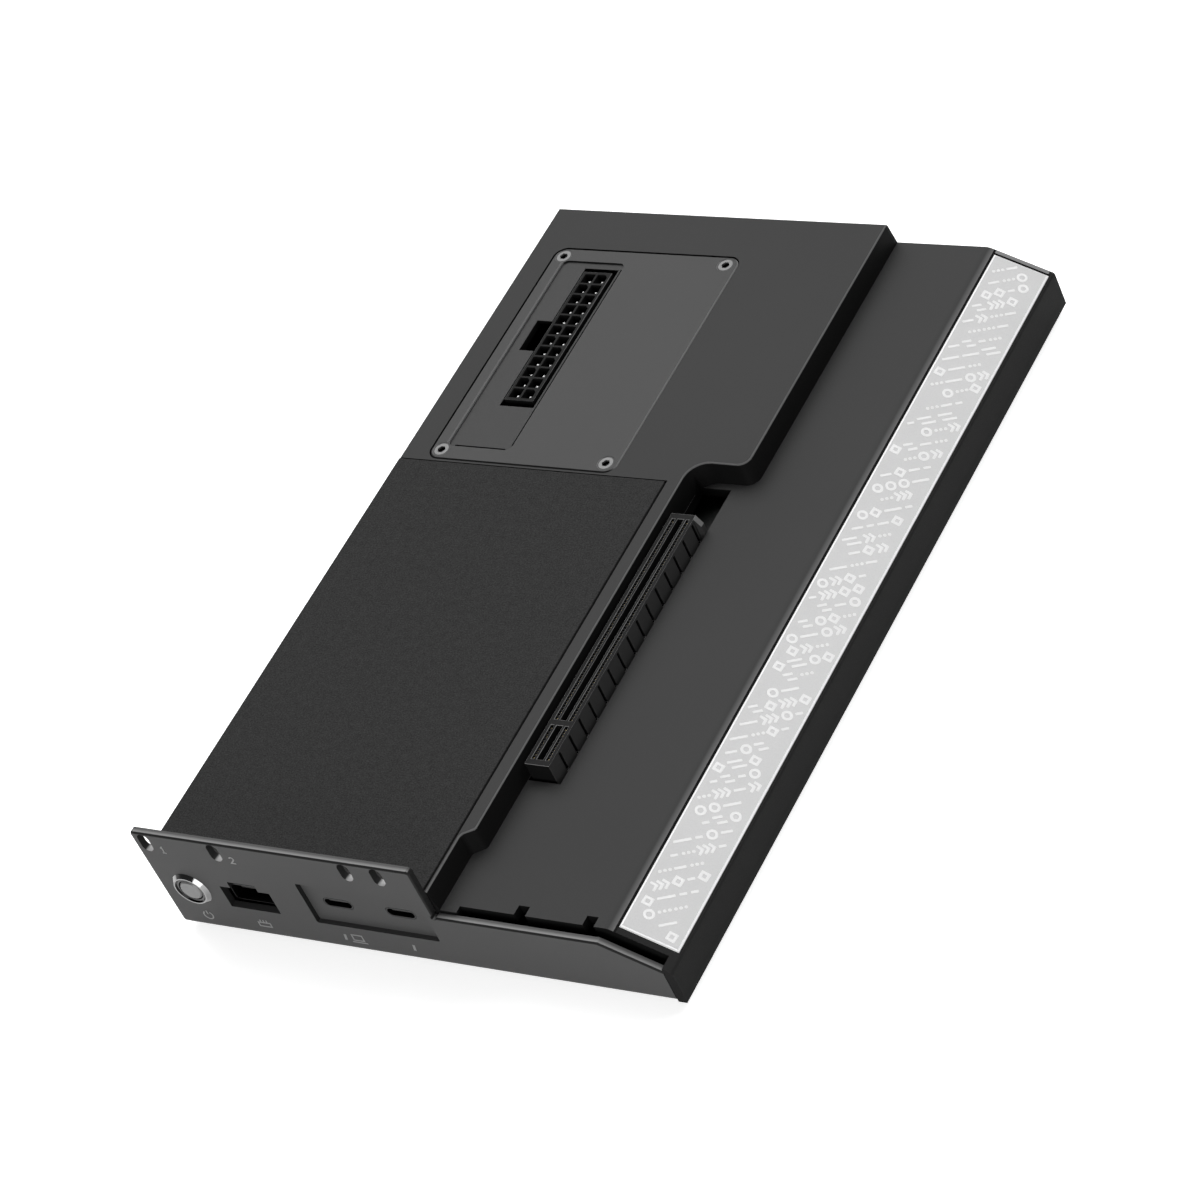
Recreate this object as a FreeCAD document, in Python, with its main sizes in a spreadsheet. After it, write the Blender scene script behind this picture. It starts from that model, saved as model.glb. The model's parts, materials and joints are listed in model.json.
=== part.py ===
import FreeCAD, Part
import Sketcher
import os
import re

# A desktop dock that carries a graphics card and a computer power supply.
# Every sub-part is drawn in one datum frame: X from the left face, Y from the face of the front
# panel, Z from the underside of the housing. One common shift then puts the origin at the centre
# of the space that the dock covers, on the surface that its feet stand on.

doc = FreeCAD.newDocument("GraphicsDock")
sheet = doc.addObject("Spreadsheet::Sheet", "Dims")

sizes = {
    # housing
    "body_width": 156.0,
    "body_length": 248.0,
    "deck_height": 26.6,
    "lower_deck": 19.8,
    "chamfer_run": 17.5,
    "chamfer_drop": 8.6,
    "wall": 2.5,
    "slope_wall": 5.0,
    "deck_thickness": 3.0,
    "weld": 0.5,
    # raised deck: its right-hand edge steps outwards twice on the way to the rear
    "deck_front_width": 88.6,
    "jog_step": 3.3,
    "rear_step": 16.9,
    "jog_start": 20.8,
    "jog_run": 2.4,
    "jog_round": 1.5,
    "cross_edge_lead": 6.8,
    "inner_corner": 6.0,
    "outer_corner": 3.5,
    "block_draft": 9.0,
    "deck_edge_round": 0.6,
    "bend_round": 5.0,
    "rim_round": 1.0,
    # bosses of the housing
    "boss_diameter": 6.4,
    "pilot_diameter": 2.9,
    "pilot_depth": 9.0,
    "cover_boss_left": 7.5,
    "cover_boss_right_inset": 26.0,
    "cover_boss_front": 34.0,
    "cover_boss_rear_inset": 10.0,
    "board_boss_left": 42.0,
    "board_boss_right": 84.0,
    "board_boss_front": 28.0,
    "board_boss_plate_gap": 4.2,
    "board_boss_rear_inset": 20.0,
    "flange_boss_y": 10.5,
    "flange_boss_left": 7.0,
    "flange_boss_middle": 42.5,
    "flange_boss_right": 122.8,
    "flange_boss_height": 6.0,
    "plate_boss_depth": 6.0,
    # front panel
    "panel_thickness": 2.0,
    "panel_rise": 9.7,
    "panel_gap": 0.2,
    "panel_drop": 0.8,
    "panel_bend_shift": 1.2,
    "tab_inset": 0.1,
    "tab_round": 1.0,
    "panel_edge_round": 0.6,
    "tab_relief": 1.6,
    "flange_depth": 14.0,
    "flange_bend": 1.5,
    # screw slots of the power supply, set out from the edge that every supply lines up with
    "supply_edge_inset": 5.0,
    "supply_hole_rise": 6.0,
    "supply_slot_width": 3.6,
    "supply_slot_height": 6.4,
    "large_supply_near": 16.0,
    "large_supply_pitch": 64.0,
    "small_supply_near": 6.0,
    "small_supply_pitch": 51.5,
    # bracket gap behind the panel
    "bracket_gap": 2.1,
    "bracket_gap_lead": 2.75,
    "bracket_notch_offset": 15.15,
    "bracket_pitch": 20.32,
    "bracket_notch_width": 3.3,
    "bracket_notch_depth": 3.0,
    # mat
    "mat_edge": 1.4,
    "mat_plate_gap": 1.2,
    "mat_thickness": 1.0,
    "mat_groove": 0.75,
    # plate round the power header
    "plate_left": 8.6,
    "plate_width": 61.3,
    "plate_rear_inset": 16.4,
    "plate_length": 84.4,
    "plate_thickness": 1.6,
    "plate_gap": 0.35,
    "plate_corner": 3.5,
    "plate_bevel": 0.3,
    "plate_screw_left": 3.2,
    "plate_screw_right": 3.9,
    "plate_screw_front": 3.4,
    "plate_screw_rear": 3.1,
    "plate_pocket_left": 4.2,
    "plate_pocket_right": 2.3,
    "plate_pocket_front": 5.0,
    "plate_pocket_rear": 4.8,
    "plate_pocket_depth": 0.5,
    "plate_pocket_corner": 2.0,
    "plate_seam": 0.9,
    "plate_seam_depth": 0.5,
    # power header
    "header_from_plate_left": 18.1,
    "header_from_plate_front": 49.6,
    "header_pitch": 4.2,
    "header_rim": 1.2,
    "header_height": 12.8,
    "header_floor": 3.5,
    "header_cell": 3.4,
    "header_cell_cut": 0.9,
    "header_side_room": 0.9,
    "header_end_room": 1.9,
    "header_pin": 1.1,
    "header_pin_below_rim": 1.9,
    "latch_length": 5.0,
    "latch_proud": 1.0,
    "latch_height": 3.0,
    "latch_below_rim": 2.2,
    "lug_length": 12.0,
    "lug_width": 5.9,
    # countersunk screws
    "screw_head": 5.05,
    "screw_shank": 2.8,
    "screw_length": 8.0,
    "screw_socket": 2.2,
    "screw_socket_depth": 1.1,
    "screw_hole": 3.1,
    "screw_sink": 1.05,
    # pan-head screws of the board
    "board_screw_head": 5.0,
    "board_screw_head_height": 1.7,
    # light strip on the slope
    "strip_margin": 2.3,
    "strip_width": 16.1,
    "strip_front": 6.4,
    "strip_rear_margin": 1.4,
    "strip_thickness": 2.0,
    "strip_gap": 0.25,
    "strip_bevel": 0.5,
    "channel_inset": 3.0,
    "channel_depth": 1.6,
    "led_board_thickness": 0.8,
    "led_length": 3.0,
    "led_width": 2.8,
    "led_height": 0.6,
    "led_pitch": 12.0,
    # main board
    "board_top": 13.95,
    "board_thickness": 1.6,
    "board_right_margin": 4.8,
    "board_front": 6.0,
    "board_rear_inset": 14.0,
    "board_clearance": 0.4,
    "board_hole": 3.2,
    "chip_side": 13.0,
    "chip_height": 1.2,
    "chip_x": 64.0,
    "chip_y": 48.0,
    "sink_side": 30.0,
    "sink_base": 1.5,
    "sink_height": 5.5,
    "sink_fin": 1.2,
    "choke_side": 10.0,
    "choke_height": 5.0,
    "choke_round": 1.2,
    "capacitor_diameter": 8.0,
    "capacitor_height": 6.5,
    "power_parts_x": 55.0,
    "power_parts_pitch": 13.0,
    "choke_row_inset": 64.0,
    "capacitor_row_inset": 46.0,
    # card slot
    "slot_from_deck": 5.55,
    "slot_front": 47.15,
    "slot_length": 89.0,
    "slot_width": 7.5,
    "slot_height": 11.25,
    "slot_floor": 2.4,
    "slot_end_wall": 1.9,
    "slot_key_start": 13.55,
    "slot_key": 1.9,
    "slot_groove": 1.9,
    "slot_rib": 0.8,
    "slot_channel": 0.9,
    "slot_side_pitch": 5.75,
    "slot_side_first": 5.6,
    "slot_side_cut": 0.9,
    "slot_side_cut_depth": 0.7,
    "slot_side_cut_drop": 0.9,
    "slot_side_cut_height": 6.5,
    "slot_side_room": 1.8,
    "slot_wall_room": 0.6,
    "slot_front_room": 0.95,
    "slot_hook_room": 14.65,
    "slot_ear_width": 1.5,
    "slot_ear_drop": 2.7,
    "slot_ear_length": 1.6,
    "contact_pitch": 1.0,
    "contact_width": 0.5,
    "contact_thickness": 0.45,
    "contact_below_rim": 0.7,
    # wide data port
    "link_x": 28.7,
    "link_z": 14.5,
    "link_opening_width": 16.0,
    "link_opening_height": 8.0,
    "link_key_width": 9.0,
    "link_key_height": 2.4,
    "link_shell_width": 14.4,
    "link_shell_height": 6.4,
    "link_shell_depth": 13.0,
    "link_shell_wall": 0.4,
    "link_setback": 0.1,
    "link_ear_width": 2.2,
    "link_ear_length": 8.0,
    "link_tongue_width": 11.0,
    "link_tongue_thickness": 1.2,
    "link_tongue_setback": 2.0,
    "link_block_depth": 4.0,
    # two small ports in the panel's recess
    "usb_x": 57.3,
    "usb_pitch": 19.6,
    "usb_z": 17.0,
    "recess_width": 38.5,
    "recess_height": 15.3,
    "recess_depth": 1.4,
    "recess_corner": 0.6,
    "usb_shell_width": 9.0,
    "usb_shell_height": 3.3,
    "usb_shell_wall": 0.3,
    "usb_shell_depth": 8.0,
    "usb_room": 0.15,
    "usb_tongue_width": 6.7,
    "usb_tongue_thickness": 0.7,
    "usb_tongue_setback": 0.9,
    "usb_block_depth": 1.6,
    "usb_leg_depth": 1.5,
    # power button
    "button_x": 10.2,
    "button_drop": 11.0,
    "bezel_diameter": 11.6,
    "bezel_proud": 1.0,
    "bezel_bevel": 0.9,
    "bezel_lip": 0.4,
    "bezel_bore": 8.2,
    "barrel_diameter": 9.6,
    "barrel_length": 9.0,
    "barrel_room": 0.1,
    "ring_bore": 7.2,
    "ring_recess": 0.4,
    "ring_rear": 1.5,
    "cap_room": 0.3,
    "cap_recess": 0.15,
    "cap_edge": 0.35,
    "cap_shoulder_gap": 0.1,
    "cap_shoulder": 0.8,
    "cap_stem": 3.0,
    "cap_stem_end": 4.0,
    "plunger_diameter": 2.4,
    "plunger_end": 7.0,
    "switch_front": 6.0,
    "switch_rear": 12.5,
    "switch_bore_depth": 3.0,
    "switch_pin_width": 1.8,
    "switch_pin_thickness": 0.5,
    "switch_pin_length": 4.0,
    "switch_pin_pitch": 4.0,
    "nut_across": 12.0,
    "nut_thickness": 2.0,
    # underside
    "cover_thickness": 1.5,
    "cover_gap": 0.25,
    "vent_width": 3.0,
    "vent_length": 30.0,
    "vent_pitch": 9.0,
    "vent_x": 42.0,
    "vent_front": 75.0,
    "vent_row_pitch": 42.0,
    "foot_diameter": 12.0,
    "foot_height": 2.0,
    "foot_bevel": 0.6,
    "foot_side_inset": 20.0,
    "foot_front_inset": 24.0,
    "foot_rear_inset": 20.0,
}

vent_count = 9
vent_rows = 2
header_cells = 12
header_period = 4
power_part_count = 4
fin_count = 8

for row, (alias, number) in enumerate(sizes.items(), start=1):
    sheet.set(f"A{row}", alias.replace("_", " "))
    sheet.set(f"B{row}", str(number))
    sheet.setAlias(f"B{row}", alias)
doc.recompute()


def expand(text):
    """Writes each size's name in full, as its cell in the sheet."""
    def cell(match):
        word = match.group(0)
        return "Dims." + word if word in sizes else word
    return re.sub(r"[a-z_][a-z_0-9]*", cell, str(text))


def value(text):
    return float(sheet.evalExpression(expand(text)))


def bind(item, prop, text):
    item.setExpression(prop, expand(text))


# Places that several sub-parts share, as expressions of the sheet's sizes

panel_back = "(panel_thickness + panel_gap)"
panel_height = "(deck_height + panel_rise)"
tab_right = "(deck_front_width - tab_inset)"
deck_middle = "(deck_front_width + jog_step)"
deck_rear = "(deck_front_width + jog_step + rear_step)"
mat_right = "(deck_front_width - mat_edge)"
plate_front = "(body_length - plate_rear_inset - plate_length)"
mat_rear = f"({plate_front} - mat_plate_gap)"
cross_edge = f"({plate_front} + cross_edge_lead)"
deck_under = "(deck_height - deck_thickness)"
lower_under = "(lower_deck - deck_thickness)"
rim_height = "(lower_deck - chamfer_drop)"
bend_x = "(body_width - chamfer_run)"
slant = "sqrt(chamfer_run * chamfer_run + chamfer_drop * chamfer_drop)"
inner_right = "(body_width - wall)"
draft_run = "((deck_height - lower_deck) * tan(block_draft * 1 deg))"
board_under = "(board_top - board_thickness)"
board_left = "(button_x + barrel_diameter / 2 + board_clearance)"
board_rear = "(body_length - board_rear_inset)"
slot_x = f"({deck_middle} + slot_from_deck)"
slot_left = f"({slot_x} - slot_width / 2)"
slot_right = f"({slot_x} + slot_width / 2)"
slot_top = "(board_top + slot_height)"
slot_rear = "(slot_front + slot_length)"
header_x = "(plate_left + header_from_plate_left)"
header_y = f"({plate_front} + header_from_plate_front)"
header_half_x = "(header_pitch + header_rim / 2)"
header_half_y = f"({header_cells} * header_pitch / 2 + header_rim / 2)"
header_top = "(board_top + header_height)"
link_front = "(panel_thickness + link_setback)"
strip_length = "(body_length - strip_front - strip_rear_margin)"
recess_x = "(usb_x + usb_pitch / 2)"
button_z = "(deck_height - button_drop)"

boss_rows = [
    "cover_boss_front",
    "(cover_boss_front + body_length - cover_boss_rear_inset) / 2",
    "body_length - cover_boss_rear_inset",
]
cover_boss_right = "(body_width - cover_boss_right_inset)"
board_boss_rows = [
    "board_boss_front",
    f"{plate_front} - board_boss_plate_gap",
    "body_length - board_boss_rear_inset",
]
board_bosses = [(x, y) for x in ("board_boss_left", "board_boss_right") for y in board_boss_rows]
flange_bosses = [
    (x, "flange_boss_y")
    for x in ("flange_boss_left", "flange_boss_middle", "flange_boss_right")
]
plate_screw_places = [
    (x, y)
    for x in ("plate_left + plate_screw_left", "plate_left + plate_width - plate_screw_right")
    for y in (f"{plate_front} + plate_screw_front", f"{plate_front} + plate_length - plate_screw_rear")
]
feet = {
    "foot_front_left": ("foot_side_inset", "foot_front_inset"),
    "foot_front_right": ("body_width - foot_side_inset", "foot_front_inset"),
    "foot_rear_left": ("foot_side_inset", "body_length - foot_rear_inset"),
    "foot_rear_right": ("body_width - foot_side_inset", "body_length - foot_rear_inset"),
}


def on_slope(along, depth):
    """A point of the sloped edge's section, from the bend down the slope and into the wall."""
    x = f"({bend_x} + (({along}) * chamfer_run - ({depth}) * chamfer_drop) / {slant})"
    z = f"(lower_deck - (({along}) * chamfer_drop + ({depth}) * chamfer_run) / {slant})"
    return x, z


# Drawing helpers

subparts = []


def seat(item, label, x="0", y="0", z="0"):
    """Names a finished sub-part and shifts it from the datum frame to the dock's own origin."""
    item.Label = label
    bind(item, "Placement.Base.x", f"({x}) - body_width / 2")
    bind(item, "Placement.Base.y", f"({y}) - (body_length - bezel_proud) / 2")
    bind(item, "Placement.Base.z", f"({z}) + foot_height")
    subparts.append(item)
    return item


def new_body(name):
    return doc.addObject("PartDesign::Body", name + "_body")


def sketch_on(body, role, name, offset="0"):
    plane = next(item for item in body.Origin.OriginFeatures if item.Role == role)
    sketch = body.newObject("Sketcher::SketchObject", name)
    sketch.AttachmentSupport = [(plane, "")]
    sketch.MapMode = "FlatFace"
    bind(sketch, "AttachmentOffset.Base.z", offset)
    return sketch


def pin_points(sketch, points):
    """Ties points of a sketch's geometry to expressions for their two coordinates."""
    rules = []
    texts = []
    for geometry, point, x, y in points:
        for kind, text in (("DistanceX", x), ("DistanceY", y)):
            rules.append(Sketcher.Constraint(kind, -1, 1, geometry, point, value(text)))
            texts.append(text)
    for rule, text in zip(sketch.addConstraint(rules), texts):
        bind(sketch, f"Constraints[{rule}]", text)


def spot(x, y):
    return FreeCAD.Vector(value(x), value(y), 0)


def polygon(sketch, corners):
    first = sketch.GeometryCount
    count = len(corners)
    spots = [spot(x, y) for x, y in corners]
    sketch.addGeometry([Part.LineSegment(spots[index - 1], spots[index]) for index in range(count)])
    sketch.addConstraint([
        Sketcher.Constraint("Coincident", first + index, 2, first + (index + 1) % count, 1)
        for index in range(count)
    ])
    pin_points(sketch, [(first + index, 2, x, y) for index, (x, y) in enumerate(corners)])


def rectangle(sketch, left, low, right, high):
    polygon(sketch, [(left, low), (right, low), (right, high), (left, high)])


def centred(sketch, x, y, width, height):
    left, right = f"{x} - ({width}) / 2", f"{x} + ({width}) / 2"
    low, high = f"{y} - ({height}) / 2", f"{y} + ({height}) / 2"
    rectangle(sketch, left, low, right, high)


def circle(sketch, x, y, diameter):
    axis = FreeCAD.Vector(0, 0, 1)
    shape = sketch.addGeometry(Part.Circle(spot(x, y), axis, value(diameter) / 2))
    pin_points(sketch, [(shape, 3, x, y)])
    rule = sketch.addConstraint(Sketcher.Constraint("Diameter", shape, value(diameter)))
    bind(sketch, f"Constraints[{rule}]", diameter)


def obround(sketch, x, y, length, width, upright=False):
    """A slot with round ends, lying along the sketch's first axis or standing along its second."""
    reach = f"(({length}) - ({width})) / 2"
    if upright:
        ends = [(x, f"{y} - {reach}"), (x, f"{y} + {reach}")]
    else:
        ends = [(f"{x} - {reach}", y), (f"{x} + {reach}", y)]
    radius = value(width) / 2
    low, high = spot(*ends[0]), spot(*ends[1])
    forward = FreeCAD.Vector(high - low).normalize() * radius
    side = FreeCAD.Vector(-forward.y, forward.x, 0)
    first = sketch.GeometryCount
    sketch.addGeometry(Part.Arc(low + side, low - forward, low - side))
    sketch.addGeometry(Part.Arc(high - side, high + forward, high + side))
    sketch.addGeometry(Part.LineSegment(low - side, high - side))
    sketch.addGeometry(Part.LineSegment(high + side, low + side))
    joins = [(2, 1, 0, 2), (2, 2, 1, 1), (3, 1, 1, 2), (3, 2, 0, 1)]
    rules = [
        Sketcher.Constraint("Tangent", first + line, point, first + arc, end)
        for line, point, arc, end in joins
    ]
    rules.append(Sketcher.Constraint("Equal", first, first + 1))
    sketch.addConstraint(rules)
    pin_points(sketch, [(first, 3, *ends[0]), (first + 1, 3, *ends[1])])
    rule = sketch.addConstraint(Sketcher.Constraint("Radius", first, radius))
    bind(sketch, f"Constraints[{rule}]", f"({width}) / 2")


def pad(body, sketch, name, length, reverse=False, taper=None):
    before = body.Shape.Volume if body.Tip and not body.Shape.isNull() else 0.0
    feature = body.newObject("PartDesign::Pad", name)
    feature.Profile = sketch
    feature.Reversed = reverse
    bind(feature, "Length", length)
    if taper:
        bind(feature, "TaperAngle", taper)
    doc.recompute()
    if body.Shape.Volume <= before:
        raise RuntimeError(f"{name} added nothing")
    return feature


def pocket(body, sketch, name, depth=None, reverse=False):
    before = body.Shape.Volume
    feature = body.newObject("PartDesign::Pocket", name)
    feature.Profile = sketch
    feature.Reversed = reverse
    if depth:
        bind(feature, "Length", depth)
    else:
        feature.Type = "ThroughAll"
    doc.recompute()
    if body.Shape.Volume >= before:
        raise RuntimeError(f"{name} removed nothing")
    return feature


def pattern(body, feature, name, axis, step, count):
    """Repeats the body's last feature along one axis of its own sketch."""
    before = body.Shape.Volume
    repeated = body.newObject("PartDesign::LinearPattern", name)
    repeated.Originals = [feature]
    repeated.Direction = (feature.Profile[0], [axis])
    bind(repeated, "Occurrences", count)
    bind(repeated, "Length", f"({step}) * ({count} - 1)")
    body.Tip = repeated
    doc.recompute()
    if body.Shape.Volume == before:
        raise RuntimeError(f"{name} repeated nothing")
    return repeated


def turned(body, name, profile):
    """A body of revolution round Y, from corners given as radius and Y."""
    sketch = sketch_on(body, "XY_Plane", name + "_profile")
    polygon(sketch, profile)
    feature = body.newObject("PartDesign::Revolution", name)
    feature.Profile = sketch
    feature.ReferenceAxis = (sketch, ["V_Axis"])
    feature.Angle = 360
    doc.recompute()
    return feature


def soften(body, kind, name, size, test):
    """Rounds or bevels the edges of the body's last feature that pass the test."""
    base = body.Tip
    names = [f"Edge{number}" for number, edge in enumerate(base.Shape.Edges, start=1) if test(edge)]
    if not names:
        raise RuntimeError(f"{name} found no edge")
    feature = body.newObject("PartDesign::" + kind, name)
    feature.Base = (base, names)
    bind(feature, "Radius" if kind == "Fillet" else "Size", size)
    doc.recompute()
    return feature


near = 0.02


def upright_at(places):
    """A test for straight edges along Z that stand at one of the given X, Y places."""
    spots = [(value(x), value(y)) for x, y in places]

    def test(edge):
        ends = [vertex.Point for vertex in edge.Vertexes]
        if len(ends) != 2 or abs(ends[0].z - ends[1].z) < near:
            return False
        return any(all(abs(end.x - x) < near and abs(end.y - y) < near for end in ends) for x, y in spots)
    return test


def lengthwise_at(places):
    """A test for straight edges along Y that run at one of the given X, Z places."""
    spots = [(value(x), value(z)) for x, z in places]

    def test(edge):
        ends = [vertex.Point for vertex in edge.Vertexes]
        if len(ends) != 2 or abs(ends[0].y - ends[1].y) < near:
            return False
        return any(all(abs(end.x - x) < near and abs(end.z - z) < near for end in ends) for x, z in spots)
    return test


def level_at(height):
    """A test for edges that lie wholly at one height."""
    level = value(height)

    def test(edge):
        box = edge.BoundBox
        return abs(box.ZMin - level) < near and abs(box.ZMax - level) < near
    return test


def rings_at(places, diameter, height):
    """A test for the round edges of holes at the given X, Y places and one height."""
    spots = [(value(x), value(y)) for x, y in places]
    radius = value(diameter) / 2
    level = value(height)

    def test(edge):
        if edge.Degenerated or not isinstance(edge.Curve, Part.Circle):
            return False
        if abs(edge.Curve.Radius - radius) > near:
            return False
        centre = edge.Curve.Center
        if abs(centre.z - level) > near:
            return False
        return any(abs(centre.x - x) < near and abs(centre.y - y) < near for x, y in spots)
    return test


def box(name, x, y, z, length, width, height):
    item = doc.addObject("Part::Box", name)
    for prop, text in (("Length", length), ("Width", width), ("Height", height)):
        bind(item, prop, text)
    for axis, text in (("x", x), ("y", y), ("z", z)):
        bind(item, "Placement.Base." + axis, text)
    return item


def cylinder(name, diameter, height, z="0"):
    item = doc.addObject("Part::Cylinder", name)
    bind(item, "Radius", f"({diameter}) / 2")
    bind(item, "Height", height)
    bind(item, "Placement.Base.z", z)
    return item


def compound(label, members):
    item = doc.addObject("Part::Compound", label + "_group")
    item.Links = members
    return seat(item, label)


def repeat(label, master, places, turn=None):
    """A group of equal pieces: one master linked at each place."""
    links = []
    for number, place in enumerate(places, start=1):
        link = doc.addObject("App::Link", f"{label}_{number}")
        link.LinkedObject = master
        if turn:
            link.Placement = FreeCAD.Placement(FreeCAD.Vector(), turn)
        for axis, text in zip("xyz", place):
            bind(link, "Placement.Base." + axis, text)
        links.append(link)
    return compound(label, links)


def lay_on_slope(item, along, depth, y):
    """Tilts a flat sub-part to the sloped edge and seats it at a depth below the slope's face."""
    item.Placement = FreeCAD.Placement(FreeCAD.Vector(), FreeCAD.Rotation(FreeCAD.Vector(0, 1, 0), 1))
    bind(item, "Placement.Rotation.Angle", "atan(chamfer_drop / chamfer_run)")
    x, z = on_slope(along, depth)
    return x, y, z


# Housing: the moulded shell

def raised_outline(inset, open_edge):
    """The raised deck's plan, shrunk by an inset, with its plain sides taken to the given edges."""
    left, front, rear = open_edge
    return [
        (left, front),
        (f"deck_front_width - ({inset})", front),
        (f"deck_front_width - ({inset})", "jog_start"),
        (f"{deck_middle} - ({inset})", "jog_start + jog_run"),
        (f"{deck_middle} - ({inset})", f"{cross_edge} + ({inset})"),
        (f"{deck_rear} - ({inset})", f"{cross_edge} + ({inset})"),
        (f"{deck_rear} - ({inset})", rear),
        (left, rear),
    ]


def make_top_housing():
    body = new_body("top_housing")

    section = sketch_on(body, "XZ_Plane", "housing_section")
    polygon(section, [
        ("0", "0"),
        ("body_width", "0"),
        ("body_width", rim_height),
        (bend_x, "lower_deck"),
        ("0", "lower_deck"),
    ])
    pad(body, section, "housing_base", "body_length", reverse=True)
    soften(body, "Fillet", "slope_bend", "bend_round", lengthwise_at([(bend_x, "lower_deck")]))
    soften(body, "Fillet", "slope_rim", "rim_round", lengthwise_at([("body_width", rim_height)]))

    # The raised deck overhangs the plan on its plain sides, and the trim brings it back flush.
    outline = sketch_on(body, "XY_Plane", "raised_outline", "lower_deck")
    polygon(outline, raised_outline(f"-{draft_run}", ("-wall * 2", "-wall * 2", "body_length + wall * 2")))
    pad(body, outline, "raised_deck", "deck_height - lower_deck", taper="-block_draft")
    trim = sketch_on(body, "XY_Plane", "plan_trim", "deck_height")
    rectangle(trim, "-wall * 4", "-wall * 4", "body_width + wall * 4", "body_length + wall * 4")
    rectangle(trim, "0", "0", "body_width", "body_length")
    pocket(body, trim, "raised_deck_trim")

    def corner_test(x, y):
        middle_x = value(f"{x} + {draft_run} / 2")
        middle_y = value(y)
        reach = value(draft_run)

        def test(edge):
            middle = edge.CenterOfMass
            rise = abs(edge.BoundBox.ZMax - edge.BoundBox.ZMin)
            return rise > reach and abs(middle.x - middle_x) < reach and abs(middle.y - middle_y) < reach
        return test

    corners = [
        ("deck_inner_corner", "inner_corner", deck_middle, f"{cross_edge} - {draft_run} / 2"),
        ("deck_outer_corner", "outer_corner", deck_rear, f"{cross_edge} - {draft_run} / 2"),
        ("deck_jog_first", "jog_round", "deck_front_width", "jog_start"),
        ("deck_jog_second", "jog_round", deck_middle, "jog_start + jog_run"),
    ]
    for name, radius, x, y in corners:
        soften(body, "Fillet", name, radius, corner_test(x, y))
    soften(body, "Fillet", "deck_edge", "deck_edge_round", level_at("deck_height"))

    # Hollow: one long cavity under the lower deck, one more under the raised deck.
    low_side = f"(lower_deck - ({inner_right} - {bend_x}) * chamfer_drop / chamfer_run"
    low_side += f" - slope_wall * {slant} / chamfer_run)"
    turn_x = f"({bend_x} + (deck_thickness - slope_wall * {slant} / chamfer_run)"
    turn_x += " * chamfer_run / chamfer_drop)"
    cavity = sketch_on(body, "XZ_Plane", "cavity_section")
    polygon(cavity, [
        ("wall", "0"),
        (inner_right, "0"),
        (inner_right, low_side),
        (turn_x, lower_under),
        ("wall", lower_under),
    ])
    pocket(body, cavity, "cavity", "body_length - wall")
    upper = sketch_on(body, "XY_Plane", "upper_cavity_outline", lower_under)
    polygon(upper, raised_outline("wall", ("wall", "0", "body_length - wall")))
    pocket(body, upper, "upper_cavity", f"{deck_under} - {lower_under}", reverse=True)

    # Front edge: the panel's seat, and the gap that takes the card's bracket
    face = sketch_on(body, "XZ_Plane", "panel_seat_outline")
    rectangle(face, "-wall", "-wall", inner_right, "deck_height + wall")
    pocket(body, face, "panel_seat", panel_back)
    gap_front = "panel_thickness / 2"
    gap_rear = f"({panel_back} + bracket_gap)"
    notch_rear = f"({gap_rear} + bracket_notch_depth)"
    gap_left = f"{slot_x} - bracket_gap_lead"
    gap_outline = [(gap_left, gap_rear), (gap_left, gap_front)]
    gap_outline += [(inner_right, gap_front), (inner_right, gap_rear)]
    for step in (1, 0):
        middle = f"({slot_x} + bracket_notch_offset + {step} * bracket_pitch)"
        gap_outline.append((f"{middle} + bracket_notch_width / 2", gap_rear))
        gap_outline.append((f"{middle} + bracket_notch_width / 2", notch_rear))
        gap_outline.append((f"{middle} - bracket_notch_width / 2", notch_rear))
        gap_outline.append((f"{middle} - bracket_notch_width / 2", gap_rear))
    gap = sketch_on(body, "XY_Plane", "bracket_gap_outline", "deck_height")
    polygon(gap, gap_outline)
    pocket(body, gap, "bracket_gap_cut")

    # Windows and recesses of the two decks
    window = sketch_on(body, "XY_Plane", "slot_window_outline", "deck_height")
    rectangle(
        window,
        f"{slot_left} - slot_wall_room", "slot_front - slot_front_room",
        f"{slot_right} + slot_side_room", f"{slot_rear} + slot_hook_room",
    )
    pocket(body, window, "slot_window")
    mat = sketch_on(body, "XY_Plane", "mat_seat_outline", "deck_height")
    rectangle(mat, "-wall", "0", f"{mat_right} + mat_groove", f"{mat_rear} + panel_gap")
    pocket(body, mat, "mat_seat", "mat_thickness")
    plate = sketch_on(body, "XY_Plane", "plate_seat_outline", "deck_height")
    plate_corners = [
        (x, y)
        for x in ("plate_left - plate_gap", "plate_left + plate_width + plate_gap")
        for y in (f"{plate_front} - plate_gap", f"{plate_front} + plate_length + plate_gap")
    ]
    rectangle(plate, plate_corners[0][0], plate_corners[0][1], plate_corners[3][0], plate_corners[3][1])
    pocket(body, plate, "plate_seat", "plate_thickness")
    soften(body, "Fillet", "plate_seat_corners", "plate_corner + plate_gap", upright_at(plate_corners))
    well = sketch_on(body, "XY_Plane", "header_well_outline", "deck_height")
    rectangle(
        well,
        f"{header_x} - {header_half_x} - lug_width - plate_gap",
        f"{header_y} - {header_half_y} - header_end_room - plate_gap",
        f"{header_x} + {header_half_x} + header_side_room + plate_gap",
        f"{header_y} + {header_half_y} + header_end_room + plate_gap",
    )
    pocket(body, well, "header_well")

    # Sloped edge: the light strip's seat, with a deeper channel for its lamps
    def slope_cut(name, start, end, depth, inset):
        cut = sketch_on(body, "XZ_Plane", name + "_section", f"-(strip_front - strip_gap + {inset})")
        polygon(cut, [on_slope(start, "-wall"), on_slope(end, "-wall"), on_slope(end, depth),
                      on_slope(start, depth)])
        pocket(body, cut, name, f"{strip_length} + strip_gap * 2 - 2 * {inset}")

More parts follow.
